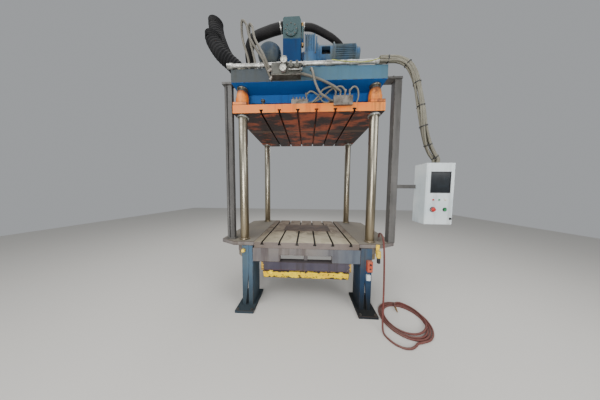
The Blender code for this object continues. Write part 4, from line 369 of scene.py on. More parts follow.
def dustyRubber(name, slot, colour, second, dustTint, dust, rough, ribs=0.0):
    skin = Finish(name, slot)
    broad = skin.noise(5, 4, shift=2.4)
    fine = skin.noise(45, 5, shift=5.2, roughness=0.65)
    top = skin.mask(skin.facing(), 0.15, 0.95)
    shade = skin.blend(skin.mask(broad, 0.38, 0.66), tint(colour), tint(second))
    cover = top * skin.mask(fine + broad, 0.7, 1.2) * dust + skin.mask(broad, 0.5, 0.75) * dust * 0.35
    shade = skin.blend(cover + skin.wear() * 0.5, shade, tint(dustTint))
    height = fine * 0.6
    if ribs:
        lengthwise = skin.node("ShaderNodeUVMap")
        braid = skin.node("ShaderNodeTexWave", {"wave_type": "BANDS", "bands_direction": "DIAGONAL"},
                          {"Vector": lengthwise, "Scale": ribs, "Distortion": 0.4}, 1)
        height = fine * 0.4 + braid * 0.6
    return skin.close(shade, fine * 0.15 + cover * 0.1 + rough, 0.0, height, 0.001, 0.35,
                      Specular_IOR_Level=0.25)


def clearPlastic(name, slot, colour, alpha, rough):
    skin = Finish(name, slot)
    skin.material.surface_render_method = "BLENDED"
    smear = skin.noise(30, 4, shift=1.1)
    return skin.close(tint(colour), skin.mask(smear, 0.2, 0.9) * 0.15 + rough, 0.0, Alpha=alpha)


def mouldedPlastic(name, slot, colour, second, rough):
    skin = Finish(name, slot)
    fine = skin.noise(70, 4, shift=2.9)
    broad = skin.noise(22, 4, shift=8.3)
    shade = skin.blend(skin.mask(broad, 0.4, 0.68), tint(colour), tint(second))
    return skin.close(shade, fine * 0.2 + rough, 0.0, fine, 0.0006, 0.25)


def dialFace():
    skin = Finish("dialFace", "gauge_enamel")
    age = skin.noise(40, 4, shift=3.3)
    shade = skin.blend(skin.mask(age, 0.45, 0.7), tint("ded9c6"), tint("b8ae90"))
    return skin.close(shade, age * 0.2 + 0.35, 0.0)


def chippedYellow():
    # thick yellow paint over dark steel, chipped in ragged patches along both edges
    skin = Finish("chippedYellow", "yellow_paint")
    fine = skin.noise(26, 6, shift=4.4, roughness=0.7)
    broad = skin.noise(7, 5, shift=1.9)
    height = skin.along("Z")
    edge = 1 - skin.mask(height, -0.440, -0.415) + skin.mask(height, -0.372, -0.352)
    chips = skin.mask(fine + broad * 0.25 + edge * 0.13 + skin.wear() * 0.1, 0.735, 0.75)
    shade = skin.blend(skin.mask(broad, 0.4, 0.65), tint("fbd800"), tint("eebd00"))
    shade = skin.blend(skin.mask(fine, 0.5, 0.62) * 0.25, shade, tint("8c6f1c"))
    shade = skin.blend(chips, shade, tint("2b211b"))
    return skin.close(shade, fine * 0.2 + chips * 0.2 + 0.38, 0.0, fine * 0.2 - chips, 0.003, 0.6)


paintLooks.update(beamPaint=dict(paintLooks["dustyBlue"], dust=(1.0, 0.25), gloss=0.3),
                  vesselPaint=dict(paintLooks["dustyBlue"], colour="1b3247", faded="2e3940", gloss=0.3),
                  tankPaint=dict(paintLooks["deepBlue"], colour="012a50", faded="033963", dust=(1.0, 0.0),
                                 rough=(0.62, 0.20), gloss=0.15), crownPaint=dict(paintLooks["deepBlue"],
                                                                                  colour="0d57a0",
                                                                                  faded="1560a6",
                                                                                  grime="0c2a4c"),
                  platenPaint=paintLooks["orangePaint"], bedBoxPaint=paintLooks["bedPaint"])
weatherAndShade = {"beamPaint": beamWeather, "tankPaint": tankWeather, "platenPaint": platenShadeAndSeams,
            "orangePaint": bushingRust, "apronPaint": apronWeather, "legPaint": legShadeAndDust,
            "bedBoxPaint": bedWeather, "columnSteel": columnOil, "bolsterSteel": bolsterStainsAndShade}
paint = {name: usedPaint(name, weatherAndShade.get(name)) for name in paintLooks}
metal = {name: bareMetal(name, weatherAndShade.get(name)) for name in metalLooks}
rubber = {
    "duct": dustyRubber("ductRubber", "black_rubber", "0f0f11", "18181a", "4d4b47", 0.50, 0.75),
    "pipe": dustyRubber("pipeRubber", "black_rubber", "161516", "111011", "45423f", 0.50, 0.62),
    "hose": dustyRubber("hoseRubber", "hose_rubber", "6e6a60", "56534c", "8f897b", 0.60, 0.55, 60),
    "cable": dustyRubber("cableJacket", "hose_rubber", "7c796c", "666358", "9b9584", 0.65, 0.50),
    "red": dustyRubber("redHoseRubber", "red_hose_rubber", "6d3a35", "512824", "8a6f66", 0.45, 0.55, 90),
}
glass = clearPlastic("gaugeGlass", "gauge_enamel", "dfe6e6", 0.14, 0.05)
darkPane = mouldedPlastic("darkPane", "needle_black", "14181c", "1d2328", 0.10)
blackPlastic = mouldedPlastic("blackPlastic", "needle_black", "17171a", "232326", 0.45)
redPlastic = mouldedPlastic("redButton", "red_plastic", "b3201a", "8f1814", 0.30)
greenPlastic = mouldedPlastic("greenButton", "green_plastic", "0f7f45", "0b6236", 0.30)
dial = dialFace()
earthJacket = mouldedPlastic("earthJacket", "yellow_plastic", "a3a43c", "7f8a35", 0.45)
bumperPaint = chippedYellow()
print("finishes ready:", len(bpy.data.materials))


# Mesh building. Each helper adds closed forms to a bmesh, with worn edges marked for the paint
standing = {"z": Matrix.Identity(4), "front": Matrix.Rotation(math.pi / 2, 4, "X"),
            "x": Matrix.Rotation(math.pi / 2, 4, "Y")}


def softened(form, faces, edge, segments=2):
    # flat faces stay flat, round ones shade smooth, and sharp edges get a worn bevel
    limit = math.radians(35)
    edges = {e for f in faces for e in f.edges}
    for face in faces:
        face.smooth = any(0.01 < e.calc_face_angle(0) <= limit for e in face.edges)
    sharp = [e for e in edges if e.calc_face_angle(0) > limit]
    wear = form.loops.layers.float.get("wear") or form.loops.layers.float.new("wear")
    if edge and sharp:
        made = bmesh.ops.bevel(form, geom=sharp, offset=edge, offset_type="OFFSET", segments=segments,
                               profile=0.5, affect="EDGES", clamp_overlap=True, material=-1)
        for face in made["faces"]:
            face.smooth = True
            for loop in face.loops:
                loop[wear] = 1.0
    else:
        for e in sharp:
            e.smooth = False


def addBlock(form, low, high, edge=0.002, turn=None, segments=2):
    size = [b - a for a, b in zip(low, high)]
    middle = [(a + b) / 2 for a, b in zip(low, high)]
    place = (turn or Matrix.Identity(4)) @ Matrix.Translation(middle) @ Matrix.Diagonal((*size, 1))
    made = bmesh.ops.create_cube(form, size=1, matrix=place)
    softened(form, list({f for v in made["verts"] for f in v.link_faces}), edge, segments)


def disc(radius, low, high):
    return [(0, high), (radius, high), (radius, low), (0, low)]


def collar(inner, outer, low, high):
    return [(inner, high), (outer, high), (outer, low), (inner, low)]


def addTurned(form, profile, place=(0, 0, 0), axis="z", sides=48, ring=False, edge=0.0015, turn=0.0):
    # a profile of (radius, height) points turned about a line through place
    stand = Matrix.Translation(place) @ standing[axis]
    rings = []
    for radius, height in profile:
        if radius < 1e-6:
            rings.append([form.verts.new(stand @ Vector((0, 0, height)))])
        else:
            angles = [turn + 2 * math.pi * step / sides for step in range(sides)]
            rings.append([form.verts.new(stand @ Vector((radius * math.cos(a), radius * math.sin(a),
                                                         height))) for a in angles])
    faces = []
    pairs = list(zip(rings, rings[1:])) + ([(rings[-1], rings[0])] if ring else [])
    for upper, lower in pairs:
        for step in range(sides):
            after = (step + 1) % sides
            corners = [upper[step % len(upper)], upper[after % len(upper)],
                       lower[after % len(lower)], lower[step % len(lower)]]
            corners = [v for at, v in enumerate(corners) if v not in corners[:at]]
            if len(corners) > 2:
                faces.append(form.faces.new(corners))
    bmesh.ops.recalc_face_normals(form, faces=faces)
    softened(form, faces, edge)


def addPlate(form, outline, low, high, axis="z", edge=0.002):
    # a flat outline given a thickness from low to high along one axis
    order = {"z": lambda a, b, h: (a, b, h), "y": lambda a, b, h: (a, h, b), "x": lambda a, b,
             h: (h, a, b)}[axis]
    bottom = [form.verts.new(order(a, b, low)) for a, b in outline]
    top = [form.verts.new(order(a, b, high)) for a, b in outline]
    count = len(outline)
    faces = [form.faces.new(bottom), form.faces.new(top)]
    faces += [form.faces.new((bottom[i], bottom[(i + 1) % count], top[(i + 1) % count],
                              top[i])) for i in range(count)]
    bmesh.ops.recalc_face_normals(form, faces=faces)
    softened(form, faces, edge)


def addPart(form, part, matrix):
    # a part built on its own, turned and placed, then taken into the form
    bmesh.ops.transform(part, matrix=matrix, verts=part.verts)
    mesh = bpy.data.meshes.new("part")
    part.to_mesh(mesh)
    part.free()
    form.from_mesh(mesh)
    bpy.data.meshes.remove(mesh)


def smoothRoute(route, spacing):
    # points at about the given spacing on a smooth curve through the route's own points
    anchors = [Vector(p) for p in route]
    ends = [2 * anchors[0] - anchors[1]] + anchors + [2 * anchors[-1] - anchors[-2]]
    points = []
    for at in range(1, len(ends) - 2):
        before, start, end, after = ends[at - 1:at + 3]
        steps = max(1, round((end - start).length / spacing))
        for step in range(steps):
            t = step / steps
            square = (2 * before - 5 * start + 4 * end - after) * t ** 2
            cube = (3 * start - before - 3 * end + after) * t ** 3
            points.append(0.5 * (2 * start + (end - before) * t + square + cube))
    return points + [anchors[-1]]


def ledRoute(start, startLead, end, endLead, reach, shares):
    # the ends of a hose, its straight leads, and places between as shares of its reach
    first, last = Vector(start), Vector(end)
    middle = [Vector([s * r + o for s, r, o in zip(share, reach, start)]) for share in shares]
    return [first, first + Vector(startLead), *middle, last + Vector(endLead), last]


def between(start, end):
    return [b - a for a, b in zip(start, end)]


def addTube(form, points, radius, sides=14):
    # a round tube along points, with closed ends and a map that runs along its length
    size = radius if callable(radius) else lambda along: radius
    last = len(points) - 1
    tangents = [(points[min(i + 1, last)] - points[max(i - 1, 0)]).normalized() for i in range(last + 1)]
    across = tangents[0].orthogonal().normalized()
    rings, lengths, travelled = [], [], 0.0
    for i, (point, tangent) in enumerate(zip(points, tangents)):
        across = (across - tangent * across.dot(tangent)).normalized()
        other = tangent.cross(across)
        travelled += (point - points[i - 1]).length if i else 0.0
        r = size(travelled)
        rings.append([form.verts.new(point + (across * math.cos(a) + other * math.sin(a)) * r)
                      for a in (2 * math.pi * s / sides for s in range(sides))])
        lengths.append(travelled)
    lay = form.loops.layers.uv.get("UVMap") or form.loops.layers.uv.new("UVMap")
    girth = 2 * math.pi * size(0)
    for i in range(len(rings) - 1):
        for s in range(sides):
            e = (s + 1) % sides
            face = form.faces.new((rings[i][s], rings[i][e], rings[i + 1][e], rings[i + 1][s]))
            face.smooth = True
            around = (s / sides * girth, (s + 1) / sides * girth)
            for loop, uv in zip(face.loops, ((lengths[i], around[0]), (lengths[i], around[1]),
                                             (lengths[i + 1], around[1]), (lengths[i + 1], around[0]))):
                loop[lay].uv = uv
    form.faces.new(rings[0][::-1])
    form.faces.new(rings[-1])


def settle(name, mesh, finish, body, stands=()):
    if finish.material.name not in [m.name for m in mesh.materials if m]:
        mesh.materials.clear()
        mesh.materials.append(finish.material)
    piece = bpy.data.objects.new(name, mesh)
    scene.collection.objects.link(piece)
    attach(piece, body)
    if stands:
        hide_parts(*([stands] if isinstance(stands, str) else stands))
    return piece


def finishForm(name, form, finish, body="frame", stands=(), lift=floorZ):
    if lift:
        bmesh.ops.translate(form, verts=form.verts, vec=(0, 0, lift))
    mesh = bpy.data.meshes.new(name)
    form.to_mesh(mesh)
    form.free()
    return settle(name, mesh, finish, body, stands)


def dress(node, name, finish, body="frame", edge=0.002):
    # the CAD node's own shape, merged, with its flat faces joined and its edges worn
    form = bmesh.new()
    form.from_mesh(cad[node].data)
    bmesh.ops.remove_doubles(form, verts=form.verts, dist=1e-5)
    bmesh.ops.dissolve_limit(form, angle_limit=math.radians(0.6), verts=form.verts, edges=form.edges)
    softened(form, list(form.faces), edge)
    return finishForm(name, form, finish, body, node, 0)


# Geometry Nodes: bolt heads on points, ribbed tubes, motor fins, twisted cables, dial marks
class Kit(Graph):
    def __init__(self, name, inputs):
        super().__init__(bpy.data.node_groups.new(name, "GeometryNodeTree"))
        face = self.tree.interface
        face.new_socket("Geometry", in_out="OUTPUT", socket_type="NodeSocketGeometry")
        face.new_socket("Geometry", in_out="INPUT", socket_type="NodeSocketGeometry")
        for label, start in inputs.items():
            kind = "Int" if isinstance(start, int) else "Float"
            face.new_socket(label, in_out="INPUT", socket_type="NodeSocket" + kind).default_value = start
        face.new_socket("Finish", in_out="INPUT", socket_type="NodeSocketMaterial")
        self.entry = self.tree.nodes.new("NodeGroupInput")

    def given(self, label):
        return Value(self, self.entry.outputs[label])

    def named(self, label, kind="FLOAT_VECTOR"):
        return self.node("GeometryNodeInputNamedAttribute", {"data_type": kind}, {"Name": label})

    def aligned(self, axis, way):
        return self.node("FunctionNodeAlignRotationToVector", {"axis": axis}, {"Vector": way})

    def spread(self, instance, points=None, turn=None, **more):
        # the instance on each point, turned the way that the point faces unless a turn is given
        return self.node("GeometryNodeInstanceOnPoints", None, {
            "Points": points or self.given("Geometry"), "Instance": instance,
            "Rotation": turn or self.aligned("Z", self.named("facing")), **more})

    def bar(self, x, y, z):
        size = self.node("ShaderNodeCombineXYZ", None, {"X": x, "Y": y, "Z": z})
        return self.node("GeometryNodeMeshCube", None, {"Size": size})

    def tube(self, curve, sides, scale):
        ring = self.node("GeometryNodeCurvePrimitiveCircle", None, {"Resolution": sides, "Radius": 1.0})
        return self.node("GeometryNodeCurveToMesh", None,
                         {"Curve": curve, "Profile Curve": ring, "Scale": scale, "Fill Caps": True})

    def vector(self, operation, first, second):
        other = "Scale" if operation == "SCALE" else 1
        return self.node("ShaderNodeVectorMath", {"operation": operation}, {0: first, other: second})

    def deliver(self, geometry, smooth=True):
        whole = self.node("GeometryNodeRealizeInstances", None, {0: geometry})
        shaded = self.node("GeometryNodeSetShadeSmooth", None, {0: whole, "Shade Smooth": smooth})
        painted = self.node("GeometryNodeSetMaterial", None, {0: shaded, "Material": self.given("Finish")})
        self.node("NodeGroupOutput", None, {0: painted})
        return self

    def make(self, name, source, finish, body="frame", stands=(), **values):
        # runs the tree on a source object and keeps the result as a plain mesh
        step = source.modifiers.new("kit", "NODES")
        step.node_group = self.tree
        values["Finish"] = finish.material
        for item in self.tree.interface.items_tree:
            label = item.name.replace(" ", "")
            if item.in_out == "INPUT" and (item.name in values or label in values):
                step[item.identifier] = values.get(item.name, values.get(label))
        bpy.context.view_layer.update()
        done = source.evaluated_get(bpy.context.evaluated_depsgraph_get())
        mesh = bpy.data.meshes.new_from_object(done)
        bpy.data.objects.remove(source, do_unlink=True)
        mesh.name = name
        mesh.transform(Matrix.Translation((0, 0, floorZ)))
        return settle(name, mesh, finish, body, stands)


def pointSource(places):
    # loose points, each with the way that it faces and its size
    mesh = bpy.data.meshes.new("points")
    mesh.from_pydata([place for place, way, size in places], [], [])
    mesh.attributes.new("facing", "FLOAT_VECTOR", "POINT")
    mesh.attributes.new("size", "FLOAT", "POINT")
    for at, (place, way, size) in enumerate(places):
        mesh.attributes["facing"].data[at].vector = way
        mesh.attributes["size"].data[at].value = size
    source = bpy.data.objects.new("points", mesh)
    scene.collection.objects.link(source)
    return source


def curveSource(points, closed=False):
    data = bpy.data.curves.new("route", "CURVE")
    data.dimensions = "3D"
    spline = data.splines.new("POLY")
    spline.points.add(len(points) - 1)
    for point, place in zip(spline.points, points):
        point.co = (*place, 1)
    spline.use_cyclic_u = closed
    source = bpy.data.objects.new("route", data)
    scene.collection.objects.link(source)
    return source


def boltKit():
    kit = Kit("boltHeads", {"Head Height": 0.62, "Washer Radius": 1.35, "Washer Height": 0.18, "Seed": 3})
    spin = kit.node("FunctionNodeRandomValue", {"data_type": "FLOAT"},
                    {2: 0.0, 3: 1.04, 8: kit.given("Seed")}, 1)
    spun = kit.node("FunctionNodeAxisAngleToRotation", None, {"Axis": (0, 0, 1), "Angle": spin})
    turn = kit.node("FunctionNodeRotateRotation", {"rotation_space": "LOCAL"},
                    {"Rotation": kit.aligned("Z", kit.named("facing")), "Rotate By": spun})
    high, low = kit.given("Head Height"), kit.given("Washer Height")
    forms = []
    for sides, radius, depth, lift in ((6, 1.0, high, high * 0.5 + low),
                                       (18, kit.given("Washer Radius"), low, low * 0.5)):
        form = kit.node("GeometryNodeMeshCylinder", None, {"Vertices": sides, "Radius": radius,
                                                           "Depth": depth})
        lifted = kit.node("ShaderNodeCombineXYZ", None, {"Z": lift})
        forms.append(kit.node("GeometryNodeTransform", None, {"Geometry": form, "Translation": lifted}))
    both = kit.node("GeometryNodeJoinGeometry", None, {0: forms})
    return kit.deliver(kit.spread(both, turn=turn, Scale=kit.named("size", "FLOAT")), False)


def ribbedKit():
    kit = Kit("ribbedTube", {"Radius": 0.088, "Rib Depth": 0.006, "Rib Pitch": 0.026, "Steps": 8,
                             "Sides": 36})
    pitch = kit.given("Rib Pitch")
    even = kit.node("GeometryNodeResampleCurve", {"mode": "LENGTH"},
                    {"Curve": kit.given("Geometry"), "Length": pitch / kit.given("Steps")})
    along = kit.node("GeometryNodeSplineParameter", output=1)
    wave = (along / pitch * (2 * math.pi)).through("COSINE")
    scale = kit.given("Radius") - kit.given("Rib Depth") * (0.5 - wave * 0.5)
    return kit.deliver(kit.tube(even, kit.given("Sides"), scale))


def finKit():
    kit = Kit("motorFins", {"Count": 40, "Root Radius": 0.124, "Fin Height": 0.013, "Fin Length": 0.21,
                            "Fin Thickness": 0.004})
    reach = kit.given("Root Radius") + kit.given("Fin Height") * 0.5
    ring = kit.node("GeometryNodeMeshCircle", None, {"Vertices": kit.given("Count"), "Radius": reach})
    fin = kit.bar(kit.given("Fin Height"), kit.given("Fin Thickness"), kit.given("Fin Length"))
    fins = kit.spread(fin, ring, kit.aligned("X", kit.node("GeometryNodeInputPosition")))
    return kit.deliver(kit.spread(fins), False)


def cableKit():
    kit = Kit("twistedCables", {"Strands": 8, "Cable Radius": 0.0105, "Spread": 0.0235, "Twist": 2.6,
                                "Seed": 5})
    even = kit.node("GeometryNodeResampleCurve", {"mode": "LENGTH"},
                    {"Curve": kit.given("Geometry"), "Length": 0.02})
    strand = kit.node("GeometryNodeDuplicateElements", {"domain": "SPLINE"},
                      {"Geometry": even, "Amount": kit.given("Strands")})
    number = Value(kit, strand.socket.node.outputs[1])
    along = kit.node("GeometryNodeSplineParameter", output=0)
    odd = kit.node("FunctionNodeRandomValue", {"data_type": "FLOAT"},
                   {2: 0.55, 3: 1.0, 7: number, 8: kit.given("Seed")}, 1)
    sway = (along * 9.0 + number * 2.3).through("SINE")
    angle = number / kit.given("Strands") * (2 * math.pi) + along * kit.given("Twist") * odd + sway * 0.35
    side, ahead = kit.node("GeometryNodeInputNormal"), kit.node("GeometryNodeInputTangent")
    reach = kit.given("Spread") * (odd * 0.5 + 0.5)
    first = kit.vector("SCALE", side, angle.through("COSINE") * reach)
    second = kit.vector("SCALE", kit.vector("CROSS_PRODUCT", ahead, side), angle.through("SINE") * reach)
    laid = kit.node("GeometryNodeSetPosition", None,
                    {"Geometry": strand, "Offset": kit.vector("ADD", first, second)})
    return kit.deliver(kit.tube(laid, 10, kit.given("Cable Radius")))


def dialKit():
    kit = Kit("dialMarks", {"Marks": 31, "Radius": 0.026, "Mark Length": 0.004, "Mark Width": 0.0006})
    arc = kit.node("GeometryNodeCurveArc", {"mode": "RADIUS"},
                   {"Resolution": kit.given("Marks"), "Radius": kit.given("Radius"),
                    "Start Angle": math.radians(-45), "Sweep Angle": math.radians(270)})
    spots = kit.node("GeometryNodeCurveToPoints", {"mode": "EVALUATED"}, {"Curve": arc})
    mark = kit.bar(kit.given("Mark Length"), kit.given("Mark Width"), 0.0004)
    marks = kit.spread(mark, spots, kit.aligned("X", kit.node("GeometryNodeInputPosition")))
    return kit.deliver(kit.spread(marks), False)


boltHeads, ribbedTube, motorFins = boltKit(), ribbedKit(), finKit()
twistedCables, dialMarks = cableKit(), dialKit()
boltPlaces = {"frame": [], "moving_platen": []}


def boltRing(body, centre, way, radius, count, size, start=0.0):
    way = Vector(way).normalized()
    first = way.orthogonal().normalized()
    second = way.cross(first)
    for step in range(count):
        angle = start + 2 * math.pi * step / count
        spot = Vector(centre) + (first * math.cos(angle) + second * math.sin(angle)) * radius
        boltPlaces[body].append((spot, way, size))


def boltRow(body, spots, way, size):
    boltPlaces[body] += [(Vector(spot), Vector(way), size) for spot in spots]


print("kits ready")

# Air hose: out of the right wing, down to the floor, three loose turns and its end laid over them
airHose = {
    "radius": 0.009, "coilCentre": (1.065, -0.700), "outerTurn": 0.2455, "pitch": 0.021, "turns": 3.05,
    "startAngle": -86.5, "endAngle": 62.2, "lastReach": 0.236, "ground": 0.0097, "over": 0.0283,
    "bend": 0.075, "bendAhead": 0.1425, "fall": (0.0283, 0.0283, 0.0280, 0.0268, 0.0245, 0.0225),
    "drop": [(0.870, -0.500, 0.8503), (0.870, -0.500, 0.878), (0.868, -0.526, 0.902),
             (0.864, -0.580, 0.898), (0.858, -0.630, 0.845), (0.853, -0.662, 0.740), (0.846, -0.690, 0.580),
             (0.832, -0.725, 0.390), (0.811, -0.768, 0.220), (0.786, -0.815, 0.085), (0.772, -0.855, 0.020),
             (0.773, -0.900, 0.0097), (0.810, -0.962, 0.0097), (0.870, -1.001, 0.0097),
             (0.935, -1.006, 0.0097), (0.990, -0.985, 0.0097), (1.033, -0.958, 0.0097)],
}


def eased(x):
    x = min(1.0, max(0.0, x))
    return x * x * (3 - 2 * x)


def airHoseRoute(hose):
    cx, cy = hose["coilCentre"]
    points = list(hose["drop"])
    start, finish = math.radians(hose["startAngle"]), math.radians(hose["endAngle"]) + 3 * 2 * math.pi
    steps = 55
    for step in range(steps + 1):
        angle = start + (finish - start) * step / steps
        turn = (angle - start) / (2 * math.pi)
        reach = hose["outerTurn"] - hose["pitch"] * min(turn, hose["turns"])
        last = eased((turn - hose["turns"]) / ((finish - start) / (2 * math.pi) - hose["turns"]))
        reach += (hose["lastReach"] - reach) * last
        height = hose["ground"] + (hose["over"] - hose["ground"]) * eased((turn - 2.78) / 0.27)
        wander = 0.0025 * math.sin(3 * angle + 0.8)      # the same for each turn, so that they stay clear
        points.append((cx + (reach + wander * (1 - last)) * math.cos(angle),
                       cy + (reach + wander * (1 - last)) * math.sin(angle), height))
    ex, ey = cx + hose["bend"], cy + hose["bendAhead"]
    heights = hose["fall"]
    for step, height in enumerate(heights, 1):
        angle = math.radians(hose["endAngle"] + (180 - hose["endAngle"]) * step / len(heights))
        points.append((ex + hose["bend"] * math.cos(angle), ey + hose["bend"] * math.sin(angle), height))
    return points


def makeAirHose(hose):
    line = [p + Vector((0, 0, floorZ)) for p in smoothRoute(airHoseRoute(hose), 0.012)]
    form = bmesh.new()
    addTube(form, line, hose["radius"], 12)
    piece = finishForm("airHose", form, rubber["red"], "frame", ("air_hose", "air_hose_coil"), 0)
    end, back = line[-1], line[-3]
    way = (end - back).normalized()
    turn = way.to_track_quat("Z", "Y").to_matrix().to_4x4()
    form = bmesh.new()
    addTurned(form, [(0, 0.060), (0.0035, 0.060), (0.006, 0.056), (0.006, 0.044), (0.0045, 0.042),
                     (0.0045, 0.040), (0.0062, 0.038), (0.0062, 0.030), (0, 0.030)], sides=24, edge=0.0004)
    addTurned(form, disc(0.0098, 0.018, 0.030), sides=6, edge=0.0006)
    addTurned(form, [(0, 0.019), (0.0094, 0.019), (0.0100, 0.014), (0.0094, 0.010), (0.0100, 0.006),
                     (0.0100, 0.0002), (0, 0.0002)], sides=24, edge=0.0004)
    bmesh.ops.transform(form, matrix=Matrix.Translation(end) @ turn, verts=form.verts)
    fitting = finishForm("airHoseFitting", form, metal["brass"], "frame", "air_hose_fitting", 0)
    length = sum((b - a).length for a, b in zip(line, line[1:]))
    print("air hose length", round(length, 3))


makeAirHose(airHose)
print("air hose laid")

# Bed: bolster, box, wings, side frames, apron, bumper and a loose sheet
dress("bolster", "bolsterPlate", metal["bolsterSteel"], edge=0.0015)
dress("bed_frame", "bedBox", paint["bedBoxPaint"], edge=0.003)
dress("apron_plate", "apronPlate", paint["apronPaint"], edge=0.0015)
form = bmesh.new()          # a thin brown sheet that lies loose on the bolster
addBlock(form, (-0.340, -0.130, 0.8002), (0.360, 0.250, 0.8052), 0.001)
finishForm("bedSheet", form, metal["brownPlate"])

weldBead = {"RibDepth": 0.0012, "RibPitch": 0.006, "Steps": 3, "Sides": 8}
wing = {"inner": 0.6003, "outer": 1.030, "front": -0.625, "chamfer": (0.190, 0.095), "low": 0.755,
        "high": 0.800, "boss": (0.073, 0.675), "columns": (0.750, 0.525), "outlet": (0.870, -0.500)}


def makeWing(side, sign):
    dx, dy = wing["chamfer"]
    y = wing["front"]
    outline = [(wing["inner"], y), (wing["outer"] - dx, y), (wing["outer"], y + dy),
               (wing["outer"], -y - dy), (wing["outer"] - dx, -y), (wing["inner"], -y)]
    form = bmesh.new()
    addPlate(form, [(sign * a, b) for a, b in outline], wing["low"], wing["high"], "z", 0.003)
    cx, cy = wing["columns"]
    radius, low = wing["boss"]
    for end in (-1, 1):
        addTurned(form, collar(0.0508, radius, low, wing["low"] + 0.005), (sign * cx, end * cy, 0),
                  ring=True, edge=0.002)
        loop = [(sign * cx + radius * math.cos(a), end * cy + radius * math.sin(a), wing["low"])
                for a in (2 * math.pi * s / 48 for s in range(48))]
        ribbedTube.make(f"bossWeld.{side}.{'front' if end < 0 else 'rear'}", curveSource(loop, True),
                        metal["darkSteel"], Radius=0.0055, **weldBead)
    if side == "right":
        ox, oy = wing["outlet"]
        addTurned(form, disc(0.0138, 0.800, 0.822), (ox, oy, 0), sides=6, edge=0.001)
        addTurned(form, disc(0.0115, 0.821, 0.850), (ox, oy, 0), sides=24, edge=0.001)
    finishForm("bedWing." + side, form, paint["bedPaint"], "frame", "bed_wing_" + side)


leg = {"inner": 0.620, "outer": 0.675, "front": -0.620, "top": 0.7547, "ground": 0.015, "width": 0.240,
       "arch": 0.4647, "corner": 0.070, "foot": (0.585, 0.800, 0.330, 0.715, 0.030),
       "gusset": (0.665, 0.745, 0.039, 0.500)}


def makeSideFrame(side, sign):
    y, inner, radius, arch = leg["front"], leg["front"] + leg["width"], leg["corner"], leg["arch"]
    turn = [math.pi - step * math.pi / 20 for step in range(11)]
    front = [(inner + radius + radius * math.cos(a), arch - radius + radius * math.sin(a)) for a in turn]
    rear = [(-a, b) for a, b in front[::-1]]
    outline = [(y, leg["ground"]), (y, leg["top"]), (-y, leg["top"]), (-y, leg["ground"]),
               (-inner, leg["ground"])]
    outline += rear[::-1] + front[::-1] + [(inner, leg["ground"])]
    form = bmesh.new()
    xs = sorted((sign * leg["inner"], sign * leg["outer"]))
    addPlate(form, outline, xs[0], xs[1], "x", 0.003)
    x0, x1, y0, y1, thick = leg["foot"]
    root, tip, toe, taper = leg["gusset"]
    for end in (-1, 1):
        low = (min(sign * x0, sign * x1), min(end * y0, end * y1), 0.0)
        high = (max(sign * x0, sign * x1), max(end * y0, end * y1), thick)
        addBlock(form, low, high, 0.003)
        corners = [(root, leg["top"]), (tip, leg["top"]), (tip, 0.016), (tip - toe, 0.016), (root, taper)]
        ys = sorted((end * 0.605, end * 0.625))
        addPlate(form, [(sign * a, b) for a, b in corners], ys[0], ys[1], "y", 0.002)
        for bx, by in ((0.775, 0.690), (0.775, 0.360), (0.610, 0.690)):
            boltRow("frame", [(sign * bx, end * by, thick)], (0, 0, 1), 0.012)
        seam = [(sign * (leg["outer"] + 0.002), end * 0.6035, z) for z in (0.52, 0.745)]
        ribbedTube.make(f"gussetWeld.{side}.{'front' if end < 0 else 'rear'}", curveSource(seam),
                        metal["darkSteel"], Radius=0.005, **weldBead)
    finishForm("sideFrame." + side, form, paint["legPaint"], "frame", "side_frame_" + side)


bumper = {"width": 1.010, "height": 0.104, "thick": 0.024, "pivot": (0, -0.596, 0.4527), "tilt": 18,
          "lug": 0.040, "lugs": (-0.404, 0.0, 0.404), "dent": 0.0015}


def makeBumper(look):
    # a bar with rounded edges, dented along its front by years of knocks
    turn = Matrix.Translation(look["pivot"]) @ Matrix.Rotation(math.radians(look["tilt"]), 4, "X")
    form = bmesh.new()
    half, thick = look["width"] / 2, look["thick"] / 2
    made = bmesh.ops.create_cube(form, size=1, matrix=Matrix.Translation((0, 0, -look["height"] / 2))
                                 @ Matrix.Diagonal((2 * half, 2 * thick, look["height"], 1)))
    softened(form, list(form.faces), 0.005, 3)
    for step in range(1, 60):
        cut = -half + look["width"] * step / 60
        bmesh.ops.bisect_plane(form, geom=form.verts[:] + form.edges[:] + form.faces[:],
                               plane_co=(cut, 0, 0), plane_no=(1, 0, 0))
    for vert in form.verts:
        height = 0.4 + 0.6 * math.sin(vert.co.z * 60)
        push = math.sin(vert.co.x * 37) * math.sin(vert.co.x * 11 + 2) * height
        vert.co.y += look["dent"] * max(0, push) * (1 if vert.co.y < 0 else 0)
    bmesh.ops.transform(form, matrix=turn, verts=form.verts)
    lug = look["lug"] / 2
    for x in look["lugs"]:
        addBlock(form, (x - lug, -0.6077, 0.4067), (x + lug, -0.5877, 0.5147), 0.0015)
    finishForm("bumperBar", form, bumperPaint, "frame", "bumper_bar")


for side, sign in (("left", -1), ("right", 1)):
    makeWing(side, sign)
    makeSideFrame(side, sign)
makeBumper(bumper)
print("bed built")

